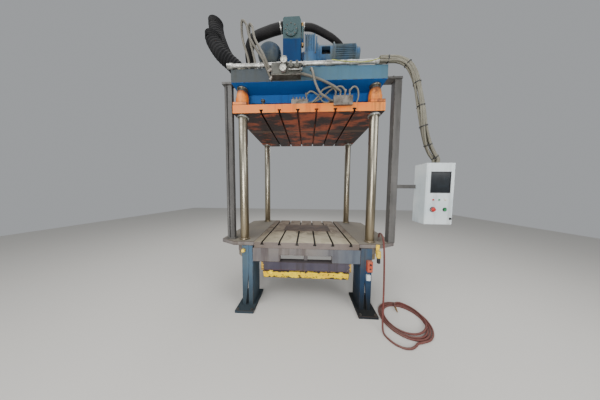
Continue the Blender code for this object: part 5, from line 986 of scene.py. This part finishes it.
# Columns with their collars and nuts
corners = [(end, side, signX, signY) for end, signY in (("front", -1), ("rear", 1))
           for side, signX in (("left", -1), ("right", 1))]
column = {"radius": 0.05, "bore": 0.0495, "place": (0.75, 0.525), "ends": (0.5967, 2.7913),
          "collars": (0.8003, 2.5467), "collar": (0.060, 0.018), "nuts": (0.6047, 2.7053),
          "nut": (0.070, 0.070)}
for end, side, signX, signY in corners:
    x, y = column["place"]
    spot = (signX * x, signY * y, 0)
    form = bmesh.new()
    low, high = column["ends"]
    bore = column["bore"]
    addTurned(form, disc(column["radius"], low, high), spot, sides=64, edge=0.007)
    for base in column["collars"]:
        r, h = column["collar"]
        addTurned(form, collar(bore, r, base, base + h), spot, ring=True, edge=0.003)
    for base in column["nuts"]:
        r, h = column["nut"]
        addTurned(form, [(bore, base + h), (r * 0.93, base + h), (r, base + h * 0.88), (r, base + h * 0.12),
                         (r * 0.93, base), (bore, base)], spot, sides=6, ring=True, edge=0.002, turn=0.26)
    finishForm(f"column.{end}.{side}", form, metal["columnSteel"], "frame", f"column_{end}_{side}")
print("columns built")

# Platen, guide bushings, manifolds, ram
dress("platen", "platenPlate", paint["platenPaint"], "moving_platen", edge=0.002)
bushing = {"foot": 2.3403, "pad": 0.035, "barrel": 0.067, "barrelTop": 2.4703, "neck": 0.056,
           "neckTop": 2.5203, "bore": 0.0508, "ring": (0.066, 2.2317, 2.2497)}
for end, side, signX, signY in corners:
    cx, cy = signX * column["place"][0], signY * column["place"][1]
    form = bmesh.new()
    xs = sorted((cx - signX * 0.08, signX * 0.83))
    ys = sorted((cy - signY * 0.08, signY * 0.61))
    foot = bushing["foot"]
    addBlock(form, (xs[0], ys[0], foot), (xs[1], ys[1], foot + bushing["pad"]), 0.004)
    addTurned(form, [(bushing["bore"], bushing["neckTop"]), (bushing["neck"], bushing["neckTop"]),
                     (bushing["barrel"], bushing["barrelTop"]), (bushing["barrel"], foot + 0.01),
                     (bushing["bore"], foot + 0.01)], (cx, cy, 0), ring=True, edge=0.004)
    for step in range(3):            # ribs that stiffen the casting
        angle = math.pi / 2 + step * 2 * math.pi / 3
        turn = Matrix.Translation((cx, cy, 0)) @ Matrix.Rotation(angle, 4, "Z")
        addBlock(form, (0.050, -0.007, foot + 0.03), (0.0745, 0.007, foot + 0.105), 0.002, turn)
    finishForm(f"guideBushing.{end}.{side}", form, paint["orangePaint"], "moving_platen",
               f"guide_bushing_{end}_{side}")
    form = bmesh.new()
    r, low, high = bushing["ring"]
    addTurned(form, collar(0.0508, r, low, high), (cx, cy, 0), ring=True, edge=0.002)
    addTurned(form, collar(0.0508, 0.0545, 2.5120, 2.5203), (cx, cy, 0), ring=True, edge=0.001)
    finishForm(f"wiperRing.{end}.{side}", form, metal["galvanised"], "moving_platen")
    for bx, by in ((-0.066, -0.066), (0.064, -0.066), (-0.066, 0.066), (0.064, 0.066)):
        boltRow("moving_platen", [(cx + bx * 0.98, cy + by, foot + bushing["pad"])], (0, 0, 1), 0.0065)
    boltRing("moving_platen", (cx, cy, low), (0, 0, -1), 0.0585, 6, 0.0032)

manifold = {"left": ((-0.175, -0.600, 2.3403), (0.010, -0.520, 2.3953), 5),
            "right": ((0.280, -0.640, 2.3403), (0.480, -0.560, 2.4003), 4)}
for side, (low, high, count) in manifold.items():
    form = bmesh.new()
    addBlock(form, low, high, 0.002)
    if side == "right":
        addBlock(form, (low[0], -0.640, 2.3053), (high[0], -0.6103, 2.3450), 0.002)
    middle = (low[1] + high[1]) / 2
    for at in range(count):
        x = low[0] + (high[0] - low[0]) * (at + 0.5) / count
        addTurned(form, disc(0.0118, high[2] - 0.002, high[2] + 0.014), (x, middle, 0), sides=6, edge=0.001,
                  turn=at * 0.4)
        addTurned(form, disc(0.0085, high[2] + 0.013, high[2] + 0.042), (x, middle, 0), sides=20,
                  edge=0.001)
        addTurned(form, disc(0.0108, high[2] + 0.022, high[2] + 0.034), (x, middle, 0), sides=6, edge=0.001,
                  turn=at * 0.9)
        addTurned(form, disc(0.010, 0, 0.006), (x, low[1] + 0.0065, (low[2] + high[2]) / 2), "front",
                  sides=6, edge=0.001)
    finishForm("manifold." + side, form, metal["blockSteel"], "moving_platen", "manifold_" + side)

form = bmesh.new()
addTurned(form, [(0, 3.21), (0.1295, 3.21), (0.1295, 3.12), (0.100, 3.12), (0.100, 2.3703), (0.170, 2.3703),
                 (0.170, 2.3403), (0, 2.3403)], sides=64, edge=0.003)
finishForm("ram", form, metal["columnSteel"], "moving_platen", "ram")
boltRing("moving_platen", (0, 0, 2.3703), (0, 0, 1), 0.140, 12, 0.010)
form = bmesh.new()
addTurned(form, disc(0.016, 2.3403, 2.3853), (-0.492, -0.585, 0), sides=24, edge=0.002)
addTurned(form, disc(0.024, 2.3813, 2.4003), (-0.492, -0.585, 0), sides=24, edge=0.004)
finishForm("platenPlug", form, metal["darkSteel"], "moving_platen")
print("platen built")

# Crown, main cylinder and gland
dress("crown_front_beam", "crownBeam", paint["beamPaint"], edge=0.003)
dress("crown_box", "crownBox", paint["crownPaint"], edge=0.004)
form = bmesh.new()
addTurned(form, disc(0.070, 3.268, 3.295), edge=0.003)
addTurned(form, [(0.130, 2.430), (0.180, 2.430), (0.180, 3.270), (0, 3.270), (0, 3.25), (0.130, 3.25)],
          sides=72, ring=True, edge=0.006)
addTurned(form, collar(0.179, 0.210, 2.7003, 2.7503), sides=72, ring=True, edge=0.003)
finishForm("mainCylinder", form, paint["deepBlue"], "frame", "main_cylinder")
boltRing("frame", (0, 0, 2.7503), (0, 0, 1), 0.196, 12, 0.009)
boltRing("frame", (0, 0, 3.270), (0, 0, 1), 0.150, 10, 0.011)
form = bmesh.new()
addTurned(form, [(0.1005, 2.4997), (0.1290, 2.4997), (0.1290, 2.4297), (0.165, 2.4297), (0.165, 2.3997),
                 (0.1005, 2.3997)], sides=64, ring=True, edge=0.002)
finishForm("cylinderGland", form, metal["darkSteel"], "frame", "cylinder_gland")
boltRing("frame", (0, 0, 2.3997), (0, 0, -1), 0.147, 12, 0.007)
print("crown built")

# Valve block with solenoids and two gauges
valve = {"low": (-0.370, -0.7003, 2.577), "high": (-0.070, -0.6253, 2.697), "coils": (-0.166, -0.106)}
form = bmesh.new()
addBlock(form, valve["low"], valve["high"], 0.003)
addBlock(form, (-0.352, -0.7035, 2.585), (-0.288, -0.699, 2.689), 0.001)
for x in valve["coils"]:
    addTurned(form, [(0, 0.045), (0.009, 0.045), (0.009, 0.041), (0.0215, 0.041), (0.0215, -0.004),
                     (0, -0.004)], (x, -0.7003, 2.637), "front", sides=32, edge=0.0015)
    addBlock(form, (x - 0.011, -0.735, 2.655), (x + 0.011, -0.7045, 2.684), 0.002)
finishForm("valveBlock", form, metal["valveSteel"], "frame", "valve_block")
boltRow("frame", [(x, -0.7003, z) for x in (-0.362, -0.195) for z in (2.585, 2.689)], (0, -1, 0), 0.0045)
form = bmesh.new()
for z in (2.6745, 2.6155):
    addTube(form, [Vector((x, -0.7135, z)) for x in (-0.204, -0.15, -0.09, -0.072)], 0.0065, 12)
    addBlock(form, (-0.072, -0.722, z - 0.009), (-0.052, -0.700, z + 0.009), 0.002)
finishForm("pilotTubes", form, metal["galvanised"])
gauge = {"face": -0.745, "pointer": 135, "places": {"upper": (-0.236, 2.692), "lower": (-0.244, 2.614)}}
for name, (x, z) in gauge["places"].items():
    spot = (x, gauge["face"], z)
    form = bmesh.new()
    addTurned(form, [(0, -0.0152), (0.031, -0.0152), (0.031, -0.0008), (0.0325, 0), (0.034, -0.0015),
                     (0.034, -0.007), (0.0328, -0.008), (0.0328, -0.028), (0, -0.030)], spot, "front",
              edge=0.0006)
    addTurned(form, disc(0.009, -0.0447, -0.028), spot, "front", sides=6, edge=0.001)
    finishForm("gaugeCase." + name, form, metal["galvanised"], "frame", "gauge_case_" + name)
    form = bmesh.new()
    addTurned(form, disc(0.0308, -0.0155, -0.0150), spot, "front", edge=0)
    finishForm("gaugeDial." + name, form, dial)
    dialMarks.make("gaugeMarks." + name, pointSource([((x, gauge["face"] + 0.0149, z), (0, -1, 0), 1)]),
                   blackPlastic)
    form = bmesh.new()
    addTurned(form, disc(0.0308, -0.0040, -0.0025), spot, "front", edge=0)
    finishForm("gaugeGlass." + name, form, glass)
    form = bmesh.new()
    addTurned(form, [(0, -0.0075), (0.0028, -0.0078), (0.004, -0.0085), (0.004, -0.0157), (0, -0.0157)],
              spot, "front", sides=20, edge=0)
    turn = Matrix.Rotation(math.radians(gauge["pointer"]), 4, "Z")
    place = Matrix.Translation(spot) @ standing["front"] @ turn
    blade = [(-0.0022, -0.007), (0.0022, -0.007), (0.0009, 0.014), (0.0, 0.0225), (-0.0009, 0.014)]
    bottom = [form.verts.new(place @ Vector((a, b, -0.0100))) for a, b in blade]
    top = [form.verts.new(place @ Vector((a, b, -0.0092))) for a, b in blade]
    sidesOf = [form.faces.new(bottom), form.faces.new(top)]
    for i in range(5):
        after = (i + 1) % 5
        sidesOf.append(form.faces.new((bottom[i], bottom[after], top[after], top[i])))
    bmesh.ops.recalc_face_normals(form, faces=sidesOf)
    finishForm("gaugeNeedle." + name, form, blackPlastic, name + "_needle", "gauge_needle_" + name)
print("valves and gauges built")

# Tank, pump group and accumulator
coverPlace = (-0.205, -0.3753, 3.335)
dress("header_tank", "headerTank", paint["tankPaint"], edge=0.004)
form = bmesh.new()
addTurned(form, disc(0.078, 0, 0.014), coverPlace, "front", edge=0.0025)
addTurned(form, [(0, 0.0185), (0.030, 0.0185), (0.034, 0.013), (0, 0.013)], coverPlace, "front", edge=0.001)
finishForm("tankCover", form, paint["tankPaint"], "frame", "tank_cover")
boltRing("frame", (-0.205, -0.3893, 3.335), (0, -1, 0), 0.065, 8, 0.0062)
form = bmesh.new()
for z in (3.385, 3.155):
    addTurned(form, disc(0.0145, z, z + 0.04), (-0.065, -0.355, 0), sides=6, edge=0.001)
finishForm("sightFittings", form, metal["brass"])
dress("power_unit_base", "powerUnitBase", paint["deepBlue"], edge=0.004)
dress("pump", "pumpBody", paint["dustyBlue"], edge=0.003)
boltRow("frame", [(x, -0.405, z) for x in (-0.036, 0.088) for z in (2.900, 3.038)], (0, -1, 0), 0.0065)
dress("bell_housing", "bellHousing", paint["dustyBlue"], edge=0.002)
boltRing("frame", (0.112, -0.320, 3.035), (-1, 0, 0), 0.135, 8, 0.0055)
form = bmesh.new()
addBlock(form, (0.0985, -0.400, 2.8803), (0.1115, -0.240, 3.235), 0.003)
finishForm("adaptorPlate", form, paint["dustyBlue"])
dress("drive_shaft", "driveShaft", metal["darkSteel"], "pump_drive", edge=0.002)

motor = {"start": 0.3143, "end": 0.566, "root": 0.116, "radius": 0.128, "axis": (-0.320, 3.035)}
form = bmesh.new()
y, z = motor["axis"]
spot = (0, y, z)
addTurned(form, disc(motor["root"], motor["start"], motor["end"]), spot, "x", sides=64, edge=0.003)
for low, high in ((motor["start"], motor["start"] + 0.014), (motor["end"] - 0.012, motor["end"])):
    addTurned(form, disc(motor["radius"], low, high), spot, "x", sides=64, edge=0.003)
addTurned(form, [(0, 0.613), (0.030, 0.616), (0.094, 0.616), (0.100, 0.609), (0.100, 0.564), (0, 0.564)],
          spot, "x", edge=0.001)
for r in (0.045, 0.062, 0.079):
    addTurned(form, [(r + 0.004, 0.6165), (r + 0.004, 0.611), (r - 0.004, 0.611),
                     (r - 0.004, 0.6165)][::-1], spot, "x", ring=True, edge=0.001)
addBlock(form, (0.3283, -0.384, 2.8803), (0.552, -0.256, 2.965), 0.003)
addBlock(form, (0.340, -0.235, 3.070), (0.540, -0.135, 3.110), 0.004)
addBlock(form, (0.332, -0.243, 3.108), (0.548, -0.127, 3.138), 0.005)
finishForm("motorBody", form, paint["dustyBlue"], "frame", "motor")
motorFins.make("motorFins", pointSource([((0.4402, y, z), (1, 0, 0), 1)]), paint["dustyBlue"],
               RootRadius=0.1145, FinHeight=0.0125, FinLength=0.225, Count=40)
boltRing("frame", (motor["start"] + 0.014, y, z), (1, 0, 0), 0.121, 4, 0.005, 0.78)

vesselPlace = (-0.490, -0.375, 3.135)
form = bmesh.new()
dome = [(0.135 * math.sin(a), 0.065 * (math.cos(a) - 1)) for a in (s * math.pi / 24 for s in range(13))]
dome[0] = (0, 0)
addTurned(form, dome + [(0.135, -0.071), (0.135, -0.4225), (0.120, -0.445), (0.060, -0.455), (0, -0.455)],
          vesselPlace, "front", edge=0)
addTurned(form, collar(0.134, 0.150, -0.093, -0.071), vesselPlace, "front", ring=True, edge=0.002)
for along in (-0.250, -0.020):
    addBlock(form, (-0.585, along - 0.040, 2.7003), (-0.395, along + 0.040, 3.045), 0.004)
    addTurned(form, collar(0.1345, 0.1405, -along - 0.395, -along - 0.355), vesselPlace, "front", ring=True,
              edge=0.001)
finishForm("accumulator", form, paint["vesselPaint"], "frame", "accumulator")
boltRing("frame", (-0.490, -0.304, 3.135), (0, -1, 0), 0.1425, 14, 0.0048)
print("power unit built")

# Pipes, ducts and hoses
pipes = {
    "suctionPipe": {"node": "suction_pipe", "radius": 0.055, "start": (-0.3053, -0.310, 3.430),
                    "end": (-0.660, 0.110, 2.7003), "lead": (-0.025, 0, 0), "shares": ((0.55, 0.02, 0.04),
                                                                                       (1.14, 0.13, 0.09),
                                                                                       (1.40, 0.33, 0.22),
                                                                                       (1.42, 0.64, 0.48),
                                                                                       (1.23, 0.90, 0.77))},
    "returnPipe": {"node": "return_pipe", "radius": 0.038, "start": (-0.0847, -0.300, 3.440),
                   "end": (0.500, -0.050, 2.7003), "lead": (0.025, 0, 0), "shares": ((0.25, 0.02, 0.014),
                                                                                     (0.53, 0.12, 0.088),
                                                                                     (0.73, 0.26, 0.142),
                                                                                     (0.92, 0.60, 0.18),
                                                                                     (1.03, 0.92, 0.36),
                                                                                     (1.03, 1.0, 0.62))},
}


def band(form, line, at, radius, width=0.014, height=0.0035):
    # a worm-drive clamp: a band round the hose with its screw housing
    here, there = line[at], line[min(at + 1, len(line) - 1)]
    way = (there - here).normalized()
    turn = Matrix.Translation(here) @ way.to_track_quat("Z", "Y").to_matrix().to_4x4()
    part = bmesh.new()
    addTurned(part, collar(radius - 0.002, radius + height, -width / 2, width / 2), ring=True, sides=32,
              edge=0.0008)
    addBlock(part, (radius, -0.012, -width * 0.5), (radius + 0.011, 0.012, width * 0.5), 0.0015)
    addPart(form, part, turn)


clamps = bmesh.new()
for name, look in pipes.items():
    route = ledRoute(look["start"], look["lead"], look["end"], (0, 0, 0.025),
                     between(look["start"], look["end"]), look["shares"])
    line = smoothRoute(route, 0.018)
    form = bmesh.new()
    addTube(form, line, look["radius"], 28)
    finishForm(name, form, rubber["pipe"], "frame", look["node"])
    for at in (2, len(line) - 3):
        band(clamps, line, at, look["radius"])
finishForm("pipeClamps", clamps, metal["galvanised"])

ducts = {
    "ductFront": {"node": "duct_front", "start": (-0.715, -0.300, 2.7003), "end": (-1.124, -0.455, 3.225),
                  "shares": ((0.12, 0.10, 0.24), (0.42, 0.50, 0.42), (0.78, 0.88, 0.62))},
    "ductRear": {"node": "duct_rear", "start": (-0.710, -0.105, 2.7003), "end": (-1.203, -0.268, 3.580),
                 "shares": ((0.12, 0.10, 0.14), (0.42, 0.52, 0.30), (0.74, 0.94, 0.52), (0.93, 1.0, 0.76))},
}
for name, look in ducts.items():
    route = ledRoute(look["start"], (0, 0, 0.060), look["end"], (0, 0, -0.060),
                     between(look["start"], look["end"]), look["shares"])
    line = smoothRoute(route, 0.02)
    cut = [p for p in line if p.z < look["end"][2] - 0.058]
    ribbedTube.make(name, curveSource(cut + [Vector(look["end"]) - Vector((0, 0, 0.0585))]), rubber["duct"],
                    "frame", look["node"], Radius=0.0875, RibDepth=0.0055, RibPitch=0.030)
    form = bmesh.new()
    x, y, z = look["end"]
    wall = [(0.0875, -0.060), (0.0815, -0.050), (0.0872, -0.040), (0.0818, -0.030), (0.0868, -0.020),
            (0.0830, -0.010), (0.0878, -0.004), (0.0862, 0.0), (0.0800, -0.002), (0.0765, -0.006),
            (0.0765, -0.058), (0, -0.058)]
    addTurned(form, [(r, z + h) for r, h in [(0, -0.0600)] + wall], (x, y, 0), sides=40, edge=0)
    finishForm(name + "Mouth", form, rubber["duct"])

hoseEnds = bmesh.new()


def crimp(form, place, way, radius):
    # hex nut and crimped sleeve at a hose's end
    turn = Matrix.Translation(place) @ Vector(way).normalized().to_track_quat("Z", "Y").to_matrix().to_4x4()
    part = bmesh.new()
    addTurned(part, disc(radius * 1.22, 0.0005, 0.014), sides=6, edge=0.001)
    addTurned(part, [(0, 0.042), (radius * 1.12, 0.042), (radius * 1.16, 0.036), (radius * 1.08, 0.030),
                     (radius * 1.16, 0.024), (radius * 1.16, 0.013), (0, 0.013)], sides=20, edge=0.0006)
    addPart(form, part, turn)


hoseShares = ((-0.05, 0.0, 0.29), (-0.25, 0.08, 0.69), (-0.24, 0.27, 0.98), (-0.04, 0.46, 0.89),
              (0.14, 0.69, 0.56), (0.42, 0.92, 0.29), (0.68, 1.0, 0.07))
pressureHoses = {"A": ((-0.650, -0.560, 2.7053), (-0.3703, -0.6445, 2.603), 0.125, 0.520),
                 "B": ((-0.580, -0.560, 2.7053), (-0.3703, -0.6805, 2.650), 0.165, 0.465)}
for name, (start, end, sweep, rise) in pressureHoses.items():
    reach = (-0.3703 - start[0], -sweep, rise)
    line = smoothRoute(ledRoute(start, (0, 0, 0.025), end, (-0.025, 0, 0), reach, hoseShares), 0.014)
    form = bmesh.new()
    addTube(form, line, 0.0128, 14)
    finishForm("pressureHose" + name, form, rubber["hose"], "frame", "pressure_hose_" + name.lower())
    crimp(hoseEnds, start, line[1] - line[0], 0.0128)
    crimp(hoseEnds, end, line[-2] - line[-1], 0.0128)
finishForm("pressureHoseEnds", hoseEnds, metal["blockSteel"])

crossing = {
    "platenHoseA": {"node": "platen_hose_a", "start": (0.040, -0.6253, 2.668), "lead": (0, -0.025, 0),
                    "end": (0.2797, -0.600, 2.370), "endLead": (-0.025, 0, 0),
                    "reach": (0.2397, 0.075, -0.298), "shares": ((0.06, -1.0, 0.26), (0.16, -1.05, 0.59),
                                                                 (0.38, -0.8, 0.90), (0.68, -0.3, 0.985))},
    "platenHoseB": {"node": "platen_hose_b", "start": (-0.0697, -0.6625, 2.605), "lead": (0.025, 0, 0),
                    "end": (0.355, -0.600, 2.4426), "endLead": (0, 0, 0.025), "reach": None,
                    "shares": ((0.27, 0.05, 0.15), (0.54, 0.15, 0.39), (0.80, 0.40, 0.66),
                               (0.96, 0.80, 0.84))},
}
for name, look in crossing.items():
    reach = look["reach"] or between(look["start"], look["end"])
    line = smoothRoute(ledRoute(look["start"], look["lead"], look["end"], look["endLead"], reach,
                                look["shares"]), 0.012)
    form = bmesh.new()
    addTube(form, line, 0.0118, 14)
    mesh = bpy.data.meshes.new(name)
    bmesh.ops.translate(form, verts=form.verts, vec=(0, 0, floorZ))
    form.to_mesh(mesh)
    form.free()
    mesh.materials.append(rubber["hose"].material)
    piece = bpy.data.objects.new(name, mesh)
    scene.collection.objects.link(piece)
    x, y = look["end"][0], look["end"][1]
    look["start"][2] + floorZ - 0.01
    look["end"][2] + floorZ + 0.02
    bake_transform(piece)
    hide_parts(look["node"])

# short grey hoses that loop between the fittings on the platen's front edge
loops = {
    "one": [(0.305, -0.600, 2.440), (0.303, -0.601, 2.472), (0.255, -0.596, 2.515), (0.170, -0.575, 2.500),
            (0.120, -0.560, 2.440), (0.060, -0.555, 2.385), (0.0105, -0.560, 2.372)],
    "two": [(0.405, -0.600, 2.440), (0.405, -0.600, 2.470), (0.360, -0.590, 2.520), (0.270, -0.560, 2.515),
            (0.180, -0.545, 2.450), (0.090, -0.540, 2.400), (0.0105, -0.540, 2.386)],
    "three": [(0.455, -0.600, 2.440), (0.457, -0.600, 2.470), (0.500, -0.592, 2.515),
              (0.545, -0.575, 2.500), (0.560, -0.560, 2.430), (0.540, -0.545, 2.370),
              (0.4805, -0.570, 2.362)],
    "four": [(-0.009, -0.560, 2.437), (-0.008, -0.560, 2.462), (0.040, -0.556, 2.500),
             (0.110, -0.545, 2.470), (0.170, -0.540, 2.400), (0.220, -0.560, 2.372),
             (0.2795, -0.575, 2.385)],
}
form = bmesh.new()
ends = bmesh.new()
for route in loops.values():
    line = smoothRoute(route, 0.012)
    addTube(form, line, 0.0088, 12)
    crimp(ends, line[0], line[1] - line[0], 0.0088)
    crimp(ends, line[-1], line[-2] - line[-1], 0.0088)
finishForm("platenLoops", form, rubber["cable"], "moving_platen")
finishForm("platenLoopEnds", ends, metal["blockSteel"], "moving_platen")
print("pipes and hoses run")

# Conduit on the beam, and the bundle of cables down to the control box
form = bmesh.new()
mid = (0, -0.630, 2.7323)
addTurned(form, [(0, 0.735), (0.0255, 0.735), (0.0255, 0.702), (0.0200, 0.698), (0.0200, -0.802),
                 (0.0262, -0.806), (0.0268, -0.835), (0.0250, -0.838), (0.0250, -0.866), (0.0200, -0.870),
                 (0, -0.870)], mid, "x", sides=32, edge=0.0012)
for x in (-0.30, 0.22):
    addTurned(form, collar(0.0195, 0.0235, x - 0.030, x + 0.030), mid, "x", sides=32, ring=True,
              edge=0.0015)
for share in (0.22, 0.52, 0.82):
    x = -0.870 + share * 1.605
    addTurned(form, collar(0.0195, 0.0225, x - 0.010, x + 0.010), mid, "x", sides=32, ring=True, edge=0.001)
    addBlock(form, (x - 0.015, -0.650, 2.7053), (x + 0.015, -0.610, 2.7323), 0.002)
finishForm("conduitRun", form, metal["galvanised"], "frame", "conduit")

form = bmesh.new()
addTube(form, smoothRoute([(0.250, -0.645, 2.752), (0.360, -0.654, 2.728), (0.470, -0.655, 2.716),
                           (0.580, -0.656, 2.711), (0.660, -0.656, 2.722), (0.745, -0.650, 2.748)], 0.015),
        0.0038, 8)
finishForm("groundCable", form, earthJacket)

bundle = {
    "start": (0.7353, -0.636, 2.7425),
    "end": (1.355, -0.636, 1.6903),
    "reach": (0.6197, -0.030, -1.0522),
    "shares": ((0.14, 0.0, -0.001), (0.29, 0.5, 0.014), (0.43, 1.0, 0.067), (0.54, 1.0, 0.164),
               (0.617, 1.0, 0.307), (0.685, 0.9, 0.487), (0.758, 0.6, 0.668), (0.85, 0.2, 0.82),
               (0.94, 0.0, 0.915)),
}
route = ledRoute(bundle["start"], (0.045, 0, 0), bundle["end"], (0, 0, 0.045), bundle["reach"],
                 bundle["shares"])
line = smoothRoute(route, 0.03)
twistedCables.make("cableBundle", curveSource(line), rubber["cable"], "frame", "cable_bundle", Strands=9,
                   CableRadius=0.0098, Spread=0.0262, Twist=2.2)
form = bmesh.new()
for at in (3, 9, 16, 23, 30, 37, len(line) - 3):
    if at < len(line) - 1:
        band(form, line, at, 0.0335, 0.010, 0.0018)
finishForm("bundleTies", form, blackPlastic)
print("cables run")

# Posts, control box and its buttons
dress("post_right", "postRight", paint["postPaint"], edge=0.003)
dress("post_left", "postLeft", paint["postPaint"], edge=0.003)
boltRow("frame", [(x, y, 2.627) for x in (0.862, 0.925) for y in (-0.560, -0.480)], (0, 0, 1), 0.008)
box = {"low": (1.235, -0.682, 1.050), "high": (1.515, -0.505, 1.690), "face": -0.685,
       "screen": (1.275, 1.475, 1.380, 1.600)}
face = box["face"]
form = bmesh.new()
addBlock(form, box["low"], box["high"], 0.008, segments=3)
x0, x1, z0, z1 = box["screen"]
for low, high in (((1.243, face, 1.058), (x0, -0.6815, 1.682)),
                  ((x1, face, 1.058), (1.507, -0.6815, 1.682)), ((x0, face, 1.058), (x1, -0.6815, z0)),
                  ((x0, face, z1), (x1, -0.6815, 1.682))):
    addBlock(form, low, high, 0.0)
addBlock(form, (1.2345, -0.668, 1.150), (1.2415, -0.640, 1.210), 0.0015)
addBlock(form, (1.2345, -0.668, 1.530), (1.2415, -0.640, 1.590), 0.0015)
finishForm("controlBox", form, paint["whitePaint"], "frame", "control_box")
form = bmesh.new()
addBlock(form, (x0 + 0.004, -0.6825, z0 + 0.004), (x1 - 0.004, -0.6815, z1 - 0.004), 0.0)
finishForm("controlPane", form, darkPane)
form = bmesh.new()
for low, high in (((x0, -0.6865, z0), (x0 + 0.008, -0.681, z1)),
                  ((x1 - 0.008, -0.6865, z0), (x1, -0.681, z1)),
                  ((x0, -0.6865, z0), (x1, -0.681, z0 + 0.008)),
                  ((x0, -0.6865, z1 - 0.008), (x1, -0.681, z1))):
    addBlock(form, low, high, 0.0012)
for x, hole, rim in ((1.310, 0.0235, 0.028), (1.430, 0.0155, 0.021)):
    addTurned(form, [(hole, 0.005), (rim, 0.004), (rim, -0.001), (hole, -0.001)], (x, face, 1.210), "front",
              ring=True, edge=0.001)
addTurned(form, disc(0.013, -0.001, 0.004), (1.490, face, 1.115), "front", sides=24, edge=0.001)
finishForm("controlTrim", form, blackPlastic)
form = bmesh.new()
addTurned(form, [(0, 0.024), (0.012, 0.0235), (0.018, 0.021), (0.0215, 0.016), (0.022, 0.010),
                 (0.009, 0.010), (0.009, -0.020), (0, -0.020)], (1.310, face, 1.210), "front", edge=0.0008)
finishForm("stopButton", form, redPlastic, "stop", "stop_button")
form = bmesh.new()
addTurned(form, [(0, 0.0085), (0.010, 0.009), (0.0125, 0.010), (0.014, 0.0085), (0.014, -0.020),
                 (0, -0.020)], (1.430, face, 1.210), "front", edge=0.0005)
finishForm("startButton", form, greenPlastic, "start", "start_button")
lamps = {"lampRed": (1.310, redPlastic), "lampGreen": (1.370, greenPlastic), "lampPale": (1.430, dial)}
for name, (x, finish) in lamps.items():
    form = bmesh.new()
    addTurned(form, [(0, 0.010), (0.006, 0.0085), (0.0085, 0.005), (0.009, -0.001), (0, -0.001)],
              (x, face, 1.310), "front", sides=24, edge=0)
    finishForm(name, form, finish)
print("control box built")

# Small fittings on the front of the bed
dress("valve_knob", "valveKnob", paint["yellowPaint"], "knob", edge=0.001)
form = bmesh.new()
addBlock(form, (0.680, -0.6703, 0.500), (0.738, -0.6253, 0.625), 0.005)
addBlock(form, (0.684, -0.6725, 0.5045), (0.734, -0.6685, 0.6205), 0.002)
finishForm("switchBox", form, paint["redPaint"], "frame", "switch_box")
form = bmesh.new()
addTurned(form, [(0, 0.012), (0.008, 0.012), (0.0095, 0.004), (0.0095, -0.001), (0, -0.001)],
          (0.709, -0.6725, 0.590), "front", sides=24, edge=0.0006)
addTurned(form, [(0, 0.006), (0.008, 0.006), (0.0095, 0.002), (0.0095, -0.001), (0, -0.001)],
          (0.709, -0.6725, 0.540), "front", sides=24, edge=0.0006)
finishForm("switchButtons", form, blackPlastic)
form = bmesh.new()
addBlock(form, (0.682, -0.6553, 0.395), (0.726, -0.6253, 0.462), 0.004)
addBlock(form, (0.686, -0.6580, 0.400), (0.722, -0.6545, 0.457), 0.0015)
finishForm("outletBox", form, paint["whitePaint"], "frame", "outlet_box")
form = bmesh.new()
spot = (0.800, -0.6573, 0)
addTurned(form, [(0, 0.740), (0.017, 0.740), (0.020, 0.735), (0.020, 0.705), (0, 0.705)], spot, sides=20,
          edge=0.001)
addTurned(form, disc(0.023, 0.665, 0.706), spot, sides=32, edge=0.003)
addBlock(form, (0.782, -0.6333, 0.665), (0.818, -0.6253, 0.7997), 0.001)
addBlock(form, (0.791, -0.6573, 0.669), (0.809, -0.6293, 0.701), 0.001)
finishForm("airRegulator", form, paint["yellowPaint"], "frame", "air_regulator")
form = bmesh.new()
addTurned(form, [(0, 0.666), (0.018, 0.666), (0.018, 0.612), (0.015, 0.604), (0.006, 0.600), (0, 0.600)],
          spot, sides=32, edge=0.0)
finishForm("regulatorBowl", form, blackPlastic)
print("fittings built")

# Bolt heads, one set for each body
for body, places in boltPlaces.items():
    boltHeads.make("boltHeads." + body, pointSource(places), metal["boltSteel"], body)
print("bolts set:", {body: len(places) for body, places in boltPlaces.items()})

# Floor, light and air
stage = {"half": 9.0, "tint": "cfccc6"}
mesh = bpy.data.meshes.new("floor")
half = stage["half"]
mesh.from_pydata([(-half, -half, floorZ), (half, -half, floorZ), (half, half, floorZ),
                  (-half, half, floorZ)], [], [(0, 1, 2, 3)])
floorSkin = Finish("paleFloor", "post_paint")
floorSkin.close(tint(stage["tint"]), 0.85, 0.0)
mesh.materials.append(floorSkin.material)
floor = bpy.data.objects.new("floor", mesh)
scene.collection.objects.link(floor)
world = bpy.data.worlds.new("softAir")
world.use_nodes = True
world.node_tree.nodes["Background"].inputs[0].default_value = tint("d6d9dc")
world.node_tree.nodes["Background"].inputs[1].default_value = 0.55
scene.world = world
lights = {"key": ((-2.6, -3.4, 4.2), 3.0, 170), "fill": ((3.4, -3.0, 2.4), 2.6, 85),
          "top": ((0.4, -0.6, 5.2), 3.2, 100), "back": ((0.5, 3.8, 3.6), 2.6, 75),
          "low": ((-0.3, -4.4, 0.45), 1.6, 120)}
for name, (place, size, power) in lights.items():
    data = bpy.data.lights.new(name, "AREA")
    data.shape, data.size, data.energy = "SQUARE", size, power
    lamp = bpy.data.objects.new(name, data)
    lamp.location = place
    lamp.rotation_mode = "QUATERNION"
    lamp.rotation_quaternion = (Vector((0, 0, 0.9)) - Vector(place)).to_track_quat("-Z", "Y")
    scene.collection.objects.link(lamp)
